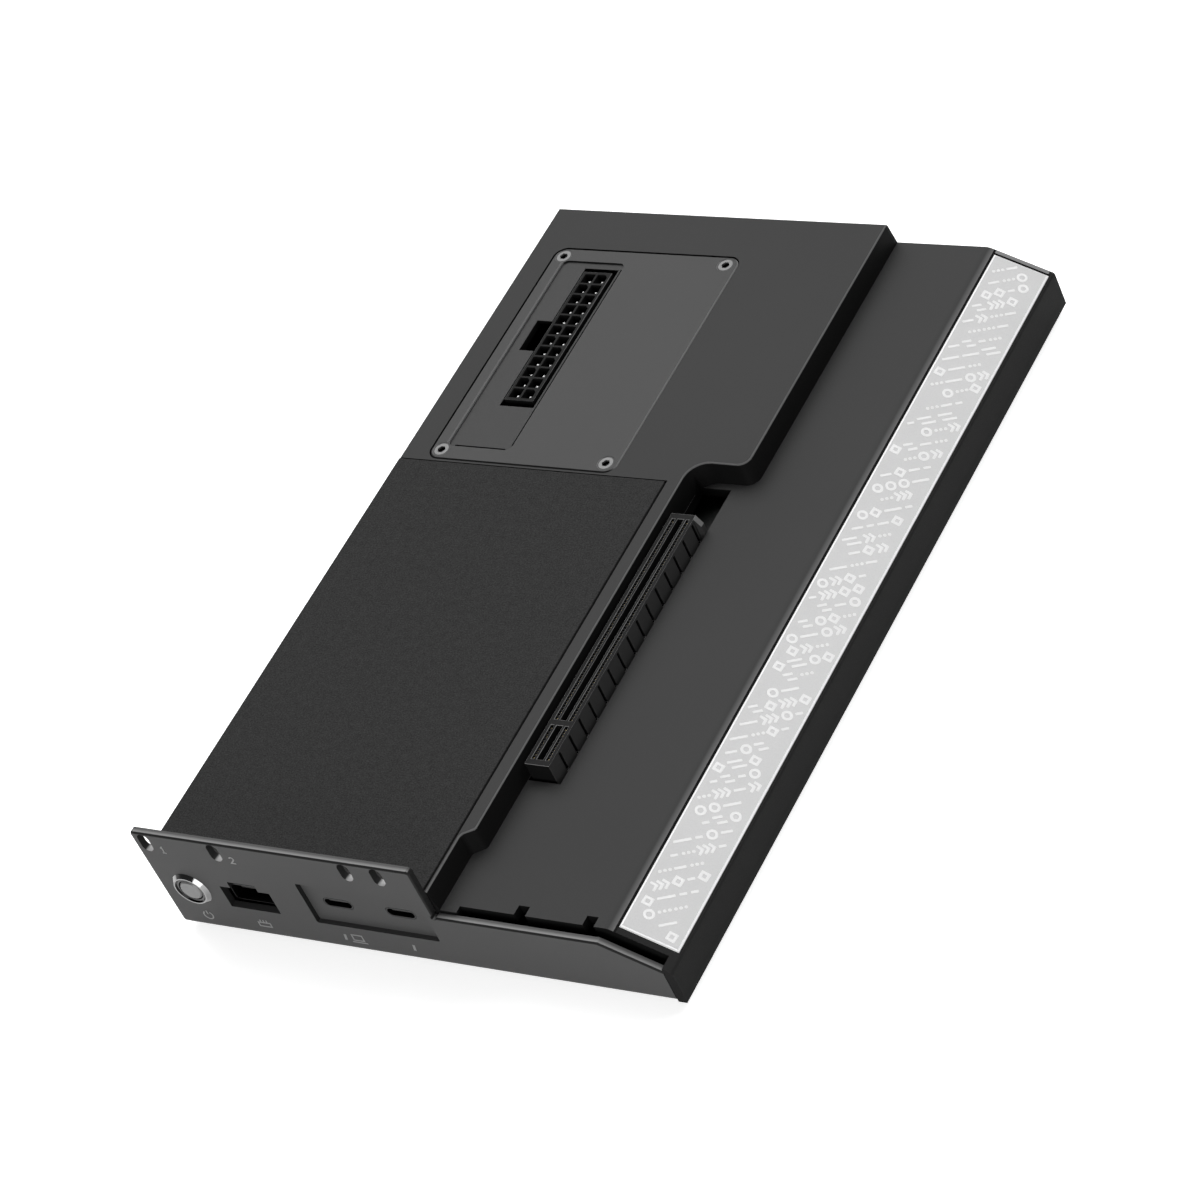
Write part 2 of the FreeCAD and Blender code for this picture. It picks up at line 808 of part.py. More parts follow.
    strip_start = "strip_margin - strip_gap"
    strip_end = "strip_margin + strip_width + strip_gap"
    slope_cut("strip_seat", strip_start, strip_end, "strip_thickness", "0")
    slope_cut("lamp_channel", f"{strip_start} + channel_inset", f"{strip_end} - channel_inset",
              "strip_thickness + channel_depth", "channel_inset")

    # Bosses that the screws bite into
    def bosses(name, places, low, high):
        stand = sketch_on(body, "XY_Plane", name + "_plan", low)
        for x, y in places:
            circle(stand, x, y, "boss_diameter")
        pad(body, stand, name, f"{high} - ({low})")

    def pilots(name, places, low):
        hole = sketch_on(body, "XY_Plane", name + "_plan", low)
        for x, y in places:
            circle(hole, x, y, "pilot_diameter")
        pocket(body, hole, name, "pilot_depth", reverse=True)

    left_bosses = [("cover_boss_left", y) for y in boss_rows]
    right_bosses = [(cover_boss_right, y) for y in boss_rows]
    bosses("left_cover_bosses", left_bosses, "cover_thickness", f"{deck_under} + weld")
    bosses("right_cover_bosses", right_bosses, "cover_thickness", f"{lower_under} + weld")
    bosses("board_bosses", board_bosses, "board_top", f"{deck_under} + weld")
    bosses("flange_middle_boss", flange_bosses[1:2], "panel_thickness", f"{deck_under} + weld")
    bosses("flange_right_boss", flange_bosses[2:], "panel_thickness", f"{lower_under} + weld")
    web = sketch_on(body, "XY_Plane", "flange_left_boss_plan", "panel_thickness")
    obround(web, "(flange_boss_left + boss_diameter / 2 + wall / 2) / 2", "flange_boss_y",
            "flange_boss_left + boss_diameter / 2 - wall / 2", "boss_diameter")
    pad(body, web, "flange_left_boss", "flange_boss_height")
    under_plate = f"({deck_under} - plate_boss_depth)"
    bosses("plate_bosses", plate_screw_places, under_plate, f"{deck_under} + weld")

    pilots("cover_pilots", left_bosses + right_bosses, "cover_thickness")
    pilots("board_pilots", board_bosses, "board_top")
    pilots("flange_pilots", flange_bosses[1:], "panel_thickness")
    short = sketch_on(body, "XY_Plane", "flange_left_pilot_plan", "panel_thickness")
    circle(short, "flange_boss_left", "flange_boss_y", "pilot_diameter")
    pocket(body, short, "flange_left_pilot", "flange_boss_height", reverse=True)
    through = sketch_on(body, "XY_Plane", "plate_pilots_plan", under_plate)
    for x, y in plate_screw_places:
        circle(through, x, y, "pilot_diameter")
    pocket(body, through, "plate_pilots", "plate_boss_depth + deck_thickness", reverse=True)
    seat(body, "top_housing")


# Front panel: a cut sheet with a folded lower flange

def make_port_panel():
    body = new_body("port_panel")
    panel_right = f"({inner_right} - panel_gap)"
    low_top = "(lower_deck - panel_drop)"
    bend = f"({bend_x} - panel_bend_shift)"
    right_top = f"({low_top} - ({panel_right} - {bend}) * chamfer_drop / chamfer_run)"
    face = sketch_on(body, "XZ_Plane", "panel_outline")
    polygon(face, [
        ("0", "0"),
        (panel_right, "0"),
        (panel_right, right_top),
        (bend, low_top),
        (tab_right, low_top),
        (tab_right, panel_height),
        ("0", panel_height),
    ])
    pad(body, face, "panel_sheet", "panel_thickness", reverse=True)
    soften(body, "Fillet", "tab_corners", "tab_round",
           lengthwise_at([("0", panel_height), (tab_right, panel_height)]))

    def front_edge_test(edge):
        box = edge.BoundBox
        return box.YMax < near and box.ZMin > near
    soften(body, "Fillet", "panel_front_edge", "panel_edge_round", front_edge_test)

    flange = sketch_on(body, "XY_Plane", "flange_outline")
    flange_right = f"{inner_right} - panel_gap * 2"
    rectangle(flange, "wall + panel_gap", "panel_thickness / 2", flange_right, "flange_depth")
    pad(body, flange, "flange", "panel_thickness")

    def fold_test(edge):
        box = edge.BoundBox
        at_corner = abs(box.YMax) < near and abs(box.ZMax) < near
        return at_corner and box.XLength > value("body_width") / 2
    soften(body, "Fillet", "flange_fold", "flange_bend", fold_test)

    cuts = sketch_on(body, "XZ_Plane", "panel_cuts")
    supply_holes = []
    for near_edge, pitch in (("large_supply_near", "large_supply_pitch"),
                             ("small_supply_near", "small_supply_pitch")):
        right_hole = f"deck_front_width - supply_edge_inset - {near_edge}"
        supply_holes += [right_hole, f"{right_hole} - {pitch}"]
    for x in supply_holes:
        obround(cuts, x, "deck_height + supply_hole_rise", "supply_slot_height", "supply_slot_width",
                upright=True)
    circle(cuts, "button_x", button_z, "barrel_diameter + barrel_room * 2")
    left, right = "link_x - link_opening_width / 2", "link_x + link_opening_width / 2"
    low, high = "link_z - link_opening_height / 2", "link_z + link_opening_height / 2"
    key_left, key_right = "link_x - link_key_width / 2", "link_x + link_key_width / 2"
    polygon(cuts, [
        (left, low),
        (right, low),
        (right, high),
        (key_right, high),
        (key_right, f"{high} + link_key_height"),
        (key_left, f"{high} + link_key_height"),
        (key_left, high),
        (left, high),
    ])
    for step in (0, 1):
        obround(cuts, f"(usb_x + {step} * usb_pitch)", "usb_z", "usb_shell_width + usb_room * 2",
                "usb_shell_height + usb_room * 2")
    circle(cuts, tab_right, low_top, "tab_relief")
    pocket(body, cuts, "panel_openings", "panel_thickness")

    recess = sketch_on(body, "XZ_Plane", "recess_outline")
    centred(recess, recess_x, "usb_z", "recess_width", "recess_height")
    pocket(body, recess, "port_recess", "recess_depth")
    recess_corners = [
        (f"{recess_x} {side} recess_width / 2", f"usb_z {end} recess_height / 2")
        for side in "+-" for end in "+-"
    ]
    soften(body, "Fillet", "recess_corners", "recess_corner", lengthwise_at(recess_corners))

    holes = sketch_on(body, "XY_Plane", "flange_holes_plan", "panel_thickness")
    for x, y in flange_bosses:
        circle(holes, x, y, "screw_hole")
    pocket(body, holes, "flange_holes", "panel_thickness")
    soften(body, "Chamfer", "flange_sinks", "screw_sink", rings_at(flange_bosses, "screw_hole", "0"))
    seat(body, "port_panel")


# Mat that the power supply stands on

def make_psu_mat():
    body = new_body("psu_mat")
    plan = sketch_on(body, "XY_Plane", "mat_plan", "deck_height - mat_thickness")
    rectangle(plan, "0", f"{panel_back} + panel_gap", mat_right, mat_rear)
    pad(body, plan, "mat_sheet", "mat_thickness")
    seat(body, "psu_mat")


# Plate round the power header

def make_connector_plate():
    body = new_body("connector_plate")
    right, rear = "plate_left + plate_width", f"{plate_front} + plate_length"
    plan = sketch_on(body, "XY_Plane", "plate_plan", "deck_height - plate_thickness")
    rectangle(plan, "plate_left", plate_front, right, rear)
    pad(body, plan, "plate_sheet", "plate_thickness")
    corners = [(x, y) for x in ("plate_left", right) for y in (plate_front, rear)]
    soften(body, "Fillet", "plate_corners", "plate_corner", upright_at(corners))
    soften(body, "Chamfer", "plate_edge", "plate_bevel", level_at("deck_height"))

    pocket_left = "plate_left + plate_pocket_left"
    pocket_right = f"{header_x} + {header_half_x} + plate_pocket_right"
    pocket_front = f"{plate_front} + plate_pocket_front"
    pocket_rear = f"{rear} - plate_pocket_rear"
    hollow = sketch_on(body, "XY_Plane", "plate_pocket_plan", "deck_height")
    rectangle(hollow, pocket_left, pocket_front, pocket_right, pocket_rear)
    pocket(body, hollow, "plate_pocket", "plate_pocket_depth")
    corners = [(x, y) for x in (pocket_left, pocket_right) for y in (pocket_front, pocket_rear)]
    soften(body, "Fillet", "plate_pocket_corners", "plate_pocket_corner", upright_at(corners))
    # Narrow seams at the foot of the pocket's front and right walls, between its corners
    seam = sketch_on(body, "XY_Plane", "plate_seam_plan", "deck_height - plate_pocket_depth")
    rectangle(seam, f"{pocket_left} + plate_pocket_corner", pocket_front,
              f"{pocket_right} - plate_pocket_corner", f"{pocket_front} + plate_seam")
    rectangle(seam, f"{pocket_right} - plate_seam", f"{pocket_front} + plate_pocket_corner",
              pocket_right, f"{pocket_rear} - plate_pocket_corner")
    pocket(body, seam, "plate_seam_cut", "plate_seam_depth")

    # One opening: the header's own, with a bay on its left for the plug's latch
    opening_left = f"{header_x} - {header_half_x} - header_side_room"
    opening_right = f"{header_x} + {header_half_x} + header_side_room"
    opening_front = f"{header_y} - {header_half_y} - header_end_room"
    opening_rear = f"{header_y} + {header_half_y} + header_end_room"
    bay_left = f"{header_x} - {header_half_x} - lug_width"
    bay_front, bay_rear = f"{header_y} - lug_length / 2", f"{header_y} + lug_length / 2"
    opening = sketch_on(body, "XY_Plane", "plate_opening_plan", "deck_height")
    polygon(opening, [
        (opening_left, opening_front),
        (opening_right, opening_front),
        (opening_right, opening_rear),
        (opening_left, opening_rear),
        (opening_left, bay_rear),
        (bay_left, bay_rear),
        (bay_left, bay_front),
        (opening_left, bay_front),
    ])
    pocket(body, opening, "plate_opening")

    holes = sketch_on(body, "XY_Plane", "plate_holes_plan", "deck_height")
    for x, y in plate_screw_places:
        circle(holes, x, y, "screw_hole")
    pocket(body, holes, "plate_holes")
    soften(body, "Chamfer", "plate_sinks", "screw_sink",
           rings_at(plate_screw_places, "screw_hole", "deck_height"))
    seat(body, "connector_plate")


# Light strip, its lamp board and lamps, all tilted to the slope

def make_light_strip():
    body = new_body("light_strip")
    plan = sketch_on(body, "XY_Plane", "strip_plan", "-strip_thickness")
    rectangle(plan, "0", "0", "strip_width", strip_length)
    pad(body, plan, "strip_bar", "strip_thickness")
    soften(body, "Chamfer", "strip_edge", "strip_bevel", level_at("0"))
    seat(body, "light_strip", *lay_on_slope(body, "strip_margin", "0", "strip_front"))

    board_width = "(strip_width - channel_inset * 2)"
    board_length = f"({strip_length} - channel_inset * 2)"
    floor = "strip_thickness + channel_depth"
    board = new_body("led_board")
    plan = sketch_on(board, "XY_Plane", "led_board_plan")
    rectangle(plan, "0", "0", board_width, board_length)
    pad(board, plan, "led_board_strip", "led_board_thickness")
    seat(board, "led_board",
         *lay_on_slope(board, "strip_margin + channel_inset", floor, "strip_front + channel_inset"))

    lamp = box("led_master", "0", "0", "0", "led_width", "led_length", "led_height")
    count = int(value(f"floor({board_length} / led_pitch)"))
    links = []
    for number in range(count):
        link = doc.addObject("App::Link", f"led_{number + 1}")
        link.LinkedObject = lamp
        bind(link, "Placement.Base.x", f"{board_width} / 2 - led_width / 2")
        bind(link, "Placement.Base.y", f"({number} + 0.5) * led_pitch - led_length / 2")
        links.append(link)
    lamps = doc.addObject("Part::Compound", "leds_group")
    lamps.Links = links
    seat(lamps, "leds", *lay_on_slope(lamps, "strip_margin + channel_inset",
                                      f"{floor} - led_board_thickness", "strip_front + channel_inset"))


# Main board with its notches and holes

def make_main_board():
    body = new_body("main_board")
    plan = sketch_on(body, "XY_Plane", "board_plan", board_under)
    board_right = f"{slot_right} + board_right_margin"
    port_left = "link_x - link_shell_width / 2 - board_clearance"
    port_right = "link_x + link_shell_width / 2 + board_clearance"
    port_rear = f"{link_front} + link_shell_depth + board_clearance"
    boss_left = "flange_boss_middle - boss_diameter / 2 - board_clearance"
    boss_right = "flange_boss_middle + boss_diameter / 2 + board_clearance"
    boss_rear = "flange_boss_y + boss_diameter / 2 + board_clearance"
    polygon(plan, [
        (board_left, "board_front"),
        (port_left, "board_front"),
        (port_left, port_rear),
        (port_right, port_rear),
        (port_right, "board_front"),
        (boss_left, "board_front"),
        (boss_left, boss_rear),
        (boss_right, boss_rear),
        (boss_right, "board_front"),
        (board_right, "board_front"),
        (board_right, board_rear),
        (board_left, board_rear),
    ])
    for x, y in board_bosses:
        circle(plan, x, y, "board_hole")
    pad(body, plan, "board_sheet", "board_thickness")
    seat(body, "main_board")


# Parts soldered to the board: controller with its heat sink, chokes and capacitors

def make_board_parts():
    chip = box("controller_chip_box", "0", "0", "0", "chip_side", "chip_side", "chip_height")
    seat(chip, "controller_chip", "chip_x - chip_side / 2", "chip_y - chip_side / 2", "board_top")

    body = new_body("controller_heatsink")
    base_level = "board_top + chip_height"
    plan = sketch_on(body, "XY_Plane", "sink_plan", base_level)
    centred(plan, "chip_x", "chip_y", "sink_side", "sink_side")
    pad(body, plan, "sink_plate", "sink_base")
    fins = sketch_on(body, "XY_Plane", "fin_plan", f"{base_level} + sink_base")
    for number in range(fin_count):
        left = f"(chip_x - sink_side / 2 + {number} * (sink_side - sink_fin) / {fin_count - 1})"
        rectangle(fins, left, "chip_y - sink_side / 2", f"{left} + sink_fin", "chip_y + sink_side / 2")
    pad(body, fins, "fins", "sink_height - sink_base")
    seat(body, "controller_heatsink")

    block = box("choke_block", "0", "0", "0", "choke_side", "choke_side", "choke_height")
    choke = doc.addObject("Part::Fillet", "choke_master")
    choke.Base = block
    doc.recompute()
    radius = value("choke_round")
    choke.Edges = [
        (number, radius, radius)
        for number, edge in enumerate(block.Shape.Edges, start=1)
        if edge.BoundBox.ZLength > near
    ]
    places = [f"power_parts_x + {number} * power_parts_pitch" for number in range(power_part_count)]
    choke_front = f"{board_rear} - choke_row_inset - choke_side / 2"
    repeat("power_chokes", choke, [(f"{x} - choke_side / 2", choke_front, "board_top") for x in places])
    can = cylinder("capacitor_master", "capacitor_diameter", "capacitor_height")
    capacitor_row = f"{board_rear} - capacitor_row_inset"
    repeat("power_capacitors", can, [(x, capacitor_row, "board_top") for x in places])


# Card slot: a moulded bar with a keyed groove between two rows of contacts

def slot_spans():
    key_front = "(slot_front + slot_key_start)"
    key_rear = f"({key_front} + slot_key)"
    return [
        ("(slot_front + slot_end_wall)", key_front),
        (key_rear, f"({slot_rear} - slot_end_wall)"),
    ]


def slot_channels():
    offset = "(slot_groove / 2 + slot_rib)"
    return [
        (f"({slot_x} - {offset} - slot_channel)", f"({slot_x} - {offset})"),
        (f"({slot_x} + {offset})", f"({slot_x} + {offset} + slot_channel)"),
    ]


def make_graphics_slot():
    body = new_body("graphics_slot")
    plan = sketch_on(body, "XY_Plane", "slot_plan", "board_top")
    rectangle(plan, slot_left, "slot_front", slot_right, slot_rear)
    pad(body, plan, "slot_bar", "slot_height")
    cuts = sketch_on(body, "XY_Plane", "slot_cuts", slot_top)
    for front, rear in slot_spans():
        rectangle(cuts, f"{slot_x} - slot_groove / 2", front, f"{slot_x} + slot_groove / 2", rear)
        for left, right in slot_channels():
            rectangle(cuts, left, front, right, rear)
    pocket(body, cuts, "slot_groove_cuts", "slot_height - slot_floor")

    # Narrow relief cuts down the outside of both long walls, under a plain rim
    reliefs = sketch_on(body, "XY_Plane", "slot_relief_plan", f"{slot_top} - slot_side_cut_drop")
    front = "(slot_front + slot_side_first - slot_side_cut / 2)"
    rear = "(slot_front + slot_side_first + slot_side_cut / 2)"
    rectangle(reliefs, slot_left, front, f"{slot_left} + slot_side_cut_depth", rear)
    rectangle(reliefs, f"{slot_right} - slot_side_cut_depth", front, slot_right, rear)
    first_pair = pocket(body, reliefs, "slot_relief_pair", "slot_side_cut_height")
    pattern(body, first_pair, "slot_reliefs", "V_Axis", "slot_side_pitch",
            "(floor((slot_length - slot_side_first) / slot_side_pitch) + 1)")

    # Bevelled ear at the rear end, on the side of the open lower deck
    ear = sketch_on(body, "XZ_Plane", "slot_ear_section", f"-({slot_rear} - slot_ear_length)")
    polygon(ear, [
        (slot_right, "board_top"),
        (f"{slot_right} + slot_ear_width", "board_top"),
        (f"{slot_right} + slot_ear_width", f"{slot_top} - slot_ear_drop"),
        (slot_right, slot_top),
    ])
    pad(body, ear, "slot_ear", "slot_ear_length", reverse=True)
    seat(body, "graphics_slot")

    contact_height = "(slot_height - slot_floor - contact_below_rim)"
    contact = box("contact_master", "0", "0", "0", "contact_thickness", "contact_width", contact_height)
    places = []
    for front, rear in slot_spans():
        count = int(value(f"floor(({rear} - {front}) / contact_pitch)"))
        margin = f"({rear} - {front} - ({count} - 1) * contact_pitch - contact_width) / 2"
        for number in range(count):
            y = f"{front} + {margin} + {number} * contact_pitch"
            for left, right in slot_channels():
                x = f"({left} + {right} - contact_thickness) / 2"
                places.append((x, y, "board_top + slot_floor"))
    repeat("slot_contacts", contact, places)


# Power header: two rows of keyed cells, and their pins

def header_cell_places():
    places = []
    for number in range(header_cells):
        y = f"({header_y} + ({number} - ({header_cells} - 1) / 2) * header_pitch)"
        outer = number % header_period in (0, header_period - 1)
        places.append((f"({header_x} - header_pitch / 2)", y, outer))
        places.append((f"({header_x} + header_pitch / 2)", y, not outer))
    return places


def make_power_header():
    body = new_body("power_header")
    plan = sketch_on(body, "XY_Plane", "header_plan", "board_top")
    left, right = f"{header_x} - {header_half_x}", f"{header_x} + {header_half_x}"
    rectangle(plan, left, f"{header_y} - {header_half_y}", right, f"{header_y} + {header_half_y}")
    pad(body, plan, "header_block", "header_height")

    # Half of the cells are square, and the others have two corners cut, so a plug fits one way.
    cells = sketch_on(body, "XY_Plane", "header_cells_plan", header_top)
    half = "header_cell / 2"
    for x, y, square in header_cell_places()[:2 * header_period]:
        if square:
            centred(cells, x, y, "header_cell", "header_cell")
        else:
            polygon(cells, [
                (f"{x} - {half}", f"{y} - {half}"),
                (f"{x} + {half} - header_cell_cut", f"{y} - {half}"),
                (f"{x} + {half}", f"{y} - {half} + header_cell_cut"),
                (f"{x} + {half}", f"{y} + {half} - header_cell_cut"),
                (f"{x} + {half} - header_cell_cut", f"{y} + {half}"),
                (f"{x} - {half}", f"{y} + {half}"),
            ])
    first_cells = pocket(body, cells, "header_first_cells", "header_height - header_floor")
    pattern(body, first_cells, "header_cells_cut", "V_Axis", f"header_pitch * {header_period}",
            header_cells // header_period)

    # Ramp that the plug's latch snaps over
    ramp = sketch_on(body, "XZ_Plane", "latch_section", f"-({header_y} - latch_length / 2)")
    ramp_low = f"{header_top} - latch_below_rim - latch_height"
    polygon(ramp, [
        (left, f"{ramp_low} + latch_height"),
        (f"{left} - latch_proud", ramp_low),
        (left, ramp_low),
    ])
    pad(body, ramp, "latch_ramp", "latch_length", reverse=True)
    seat(body, "power_header")

    pin_height = "(header_height - header_floor - header_pin_below_rim)"
    pin = box("pin_master", "0", "0", "0", "header_pin", "header_pin", pin_height)
    repeat("power_header_pins", pin, [
        (f"{x} - header_pin / 2", f"{y} - header_pin / 2", "board_top + header_floor")
        for x, y, square in header_cell_places()
    ])


# Wide data port: a metal shell in the board's notch, with a moulded tongue

def make_link_port():
    shell = new_body("link_port_shell")
    mouth = sketch_on(shell, "XZ_Plane", "link_shell_section", f"-{link_front}")
    centred(mouth, "link_x", "link_z", "link_shell_width", "link_shell_height")
    inner_width = "(link_shell_width - link_shell_wall * 2)"
    inner_height = "(link_shell_height - link_shell_wall * 2)"
    centred(mouth, "link_x", "link_z", inner_width, inner_height)
    pad(shell, mouth, "link_shell_tube", "link_shell_depth", reverse=True)
    ears = sketch_on(shell, "XY_Plane", "link_ears_plan", "board_top")
    ear_front = f"({link_front} + link_shell_depth - link_ear_length)"
    ear_rear = f"({link_front} + link_shell_depth)"
    half = "link_shell_width / 2"
    rectangle(ears, f"link_x - {half} - link_ear_width", ear_front, f"link_x - {half}", ear_rear)
    rectangle(ears, f"link_x + {half}", ear_front, f"link_x + {half} + link_ear_width", ear_rear)
    pad(shell, ears, "link_shell_ears", "link_shell_wall")
    seat(shell, "link_port_shell")

    insulator = new_body("link_port_insulator")
    block_front = f"({link_front} + link_shell_depth - link_block_depth)"
    block = sketch_on(insulator, "XZ_Plane", "link_block_section", f"-{block_front}")
    centred(block, "link_x", "link_z", inner_width, inner_height)
    pad(insulator, block, "link_block", "link_block_depth", reverse=True)
    tongue_front = f"({link_front} + link_tongue_setback)"
    tongue = sketch_on(insulator, "XZ_Plane", "link_tongue_section", f"-{tongue_front}")
    centred(tongue, "link_x", "link_z", "link_tongue_width", "link_tongue_thickness")
    pad(insulator, tongue, "link_tongue", f"{block_front} - {tongue_front}", reverse=True)
    seat(insulator, "link_port_insulator")


# Small ports in the recess: each a seamless shell round a tongue that stands on the board

def make_usb_ports():
    for step, side in enumerate(("left", "right")):
        x = f"(usb_x + {step} * usb_pitch)"
        shell = new_body("usb_c_shell_" + side)
        mouth = sketch_on(shell, "XZ_Plane", f"usb_{side}_shell_section", "-recess_depth")
        inner_width = "usb_shell_width - usb_shell_wall * 2"
        inner_height = "usb_shell_height - usb_shell_wall * 2"
        obround(mouth, x, "usb_z", "usb_shell_width", "usb_shell_height")
        obround(mouth, x, "usb_z", inner_width, inner_height)
        pad(shell, mouth, f"usb_{side}_shell_tube", "usb_shell_depth", reverse=True)
        seat(shell, "usb_c_shell_" + side)

        insulator = new_body("usb_c_insulator_" + side)
        shell_rear = "(recess_depth + usb_shell_depth)"
        block_front = f"({shell_rear} - usb_block_depth)"
        block = sketch_on(insulator, "XZ_Plane", f"usb_{side}_block_section", f"-{block_front}")
        obround(block, x, "usb_z", inner_width, inner_height)
        pad(insulator, block, f"usb_{side}_block", "usb_block_depth", reverse=True)
        tongue_front = "(recess_depth + usb_tongue_setback)"
        tongue = sketch_on(insulator, "XZ_Plane", f"usb_{side}_tongue_section", f"-{tongue_front}")
        centred(tongue, x, "usb_z", "usb_tongue_width", "usb_tongue_thickness")
        pad(insulator, tongue, f"usb_{side}_tongue", f"{block_front} - {tongue_front}", reverse=True)
        leg = sketch_on(insulator, "XZ_Plane", f"usb_{side}_leg_section", f"-{shell_rear}")
        rectangle(leg, f"{x} - usb_shell_width / 2", "board_top", f"{x} + usb_shell_width / 2",
                  "usb_z + usb_shell_height / 2")
        pad(insulator, leg, f"usb_{side}_leg", "usb_leg_depth", reverse=True)
        riser = sketch_on(insulator, "XY_Plane", f"usb_{side}_riser_plan", "board_top")
        flat = "(usb_shell_width - usb_shell_height) / 2"
        rectangle(riser, f"{x} - {flat}", "board_front", f"{x} + {flat}", shell_rear)
        pad(insulator, riser, f"usb_{side}_riser", "usb_z - usb_shell_height / 2 - board_top")
        seat(insulator, "usb_c_insulator_" + side)


# Power button: turned bezel held by a nut, a sliding cap, and a switch behind it

def make_power_button():
    centre = ("button_x", "0", button_z)
    face = "(-bezel_proud)"
    bore, rim, barrel = "bezel_bore / 2", "bezel_diameter / 2", "barrel_diameter / 2"

    bezel = new_body("button_bezel")
    turned(bezel, "bezel_turning", [
        (f"{bore} + bezel_lip", face),
        (f"{rim} - bezel_bevel", face),
        (rim, f"{face} + bezel_bevel"),
        (rim, "0"),
        (barrel, "0"),
        (barrel, "barrel_length"),
        (bore, "barrel_length"),
        (bore, f"{face} + bezel_lip"),
    ])
    seat(bezel, "button_bezel", *centre)

    ring = new_body("button_ring")
    turned(ring, "ring_turning", [
        ("ring_bore / 2", f"{face} + ring_recess"),
        (bore, f"{face} + bezel_lip"),
        (bore, "ring_rear"),
        ("ring_bore / 2", "ring_rear"),
    ])
    seat(ring, "button_ring", *centre)

    cap_radius = "(ring_bore / 2 - cap_room)"
    shoulder = f"({bore} - cap_room)"
    shoulder_front = "(ring_rear + cap_shoulder_gap)"
    shoulder_rear = f"({shoulder_front} + cap_shoulder)"
    cap_face = f"({face} + cap_recess)"
    cap = new_body("button_cap")
    turned(cap, "cap_turning", [
        ("0", cap_face),
        (f"{cap_radius} - cap_edge", cap_face),
        (cap_radius, f"{cap_face} + cap_edge"),
        (cap_radius, shoulder_front),
        (shoulder, shoulder_front),
        (shoulder, shoulder_rear),
        ("cap_stem / 2", shoulder_rear),
        ("cap_stem / 2", "cap_stem_end"),
        ("0", "cap_stem_end"),
    ])
    seat(cap, "button_cap", *centre)

    plunger = new_body("button_plunger")
    turned(plunger, "plunger_turning", [
        ("0", "cap_stem_end"),
        ("plunger_diameter / 2", "cap_stem_end"),
        ("plunger_diameter / 2", "plunger_end"),
        ("0", "plunger_end"),
    ])
    seat(plunger, "button_plunger", *centre)

    switch = new_body("button_switch")
    hole = "(plunger_diameter / 2 + cap_room)"
    switch_radius = f"({bore} - barrel_room)"
    turned(switch, "switch_turning", [
        (hole, "switch_front"),
        (switch_radius, "switch_front"),
        (switch_radius, "switch_rear"),
        ("0", "switch_rear"),
        ("0", "switch_front + switch_bore_depth"),
        (hole, "switch_front + switch_bore_depth"),
    ])
    pins = sketch_on(switch, "XZ_Plane", "switch_pins_section", "-switch_rear")
    for side in "+-":
        centred(pins, f"(0 {side} switch_pin_pitch / 2)", "0", "switch_pin_thickness", "switch_pin_width")
    pad(switch, pins, "switch_pins", "switch_pin_length", reverse=True)
    seat(switch, "button_switch", *centre)

    nut = new_body("button_nut")
    section = sketch_on(nut, "XZ_Plane", "nut_section", "-panel_thickness")
    across = "(nut_across / 2)"
    half_flat = "(nut_across / 2 * tan(30 deg))"
    corner = "(nut_across / 2 / cos(30 deg))"
    polygon(section, [
        (f"-{half_flat}", f"-{across}"),
        (half_flat, f"-{across}"),
        (corner, "0"),
        (half_flat, across),
        (f"-{half_flat}", across),
        (f"-{corner}", "0"),
    ])
    circle(section, "0", "0", "barrel_diameter + barrel_room * 2")
    pad(nut, section, "nut_ring", "nut_thickness", reverse=True)
    seat(nut, "button_nut", *centre)


# Underside: sheet cover with vents, and four rubber feet

def make_underside():
    body = new_body("bottom_cover")
    plan = sketch_on(body, "XY_Plane", "cover_plan")
    rectangle(plan, "wall + cover_gap", "flange_depth + cover_gap", f"{inner_right} - cover_gap",
              "body_length - wall - cover_gap")
    pad(body, plan, "cover_sheet", "cover_thickness")
    holes = sketch_on(body, "XY_Plane", "cover_holes_plan", "cover_thickness")
    places = [(x, y) for x in ("cover_boss_left", cover_boss_right) for y in boss_rows]
    for x, y in places:
        circle(holes, x, y, "screw_hole")
    pocket(body, holes, "cover_holes")
    soften(body, "Chamfer", "cover_sinks", "screw_sink", rings_at(places, "screw_hole", "0"))
    vents = sketch_on(body, "XY_Plane", "vent_plan", "cover_thickness")
    for row in range(vent_rows):
        obround(vents, "vent_x", f"(vent_front + {row} * vent_row_pitch)", "vent_length", "vent_width",
                upright=True)
    first_vents = pocket(body, vents, "first_vents")
    pattern(body, first_vents, "vents", "H_Axis", "vent_pitch", vent_count)
    seat(body, "bottom_cover")

    for name, (x, y) in feet.items():
        foot = new_body(name)
        plan = sketch_on(foot, "XY_Plane", name + "_plan", "-foot_height")
        circle(plan, x, y, "foot_diameter")
        pad(foot, plan, name + "_disc", "foot_height")
        soften(foot, "Chamfer", name + "_edge", "foot_bevel", level_at("-foot_height"))
        seat(foot, name)


# Screws: countersunk socket screws outside, pan-head screws on the board

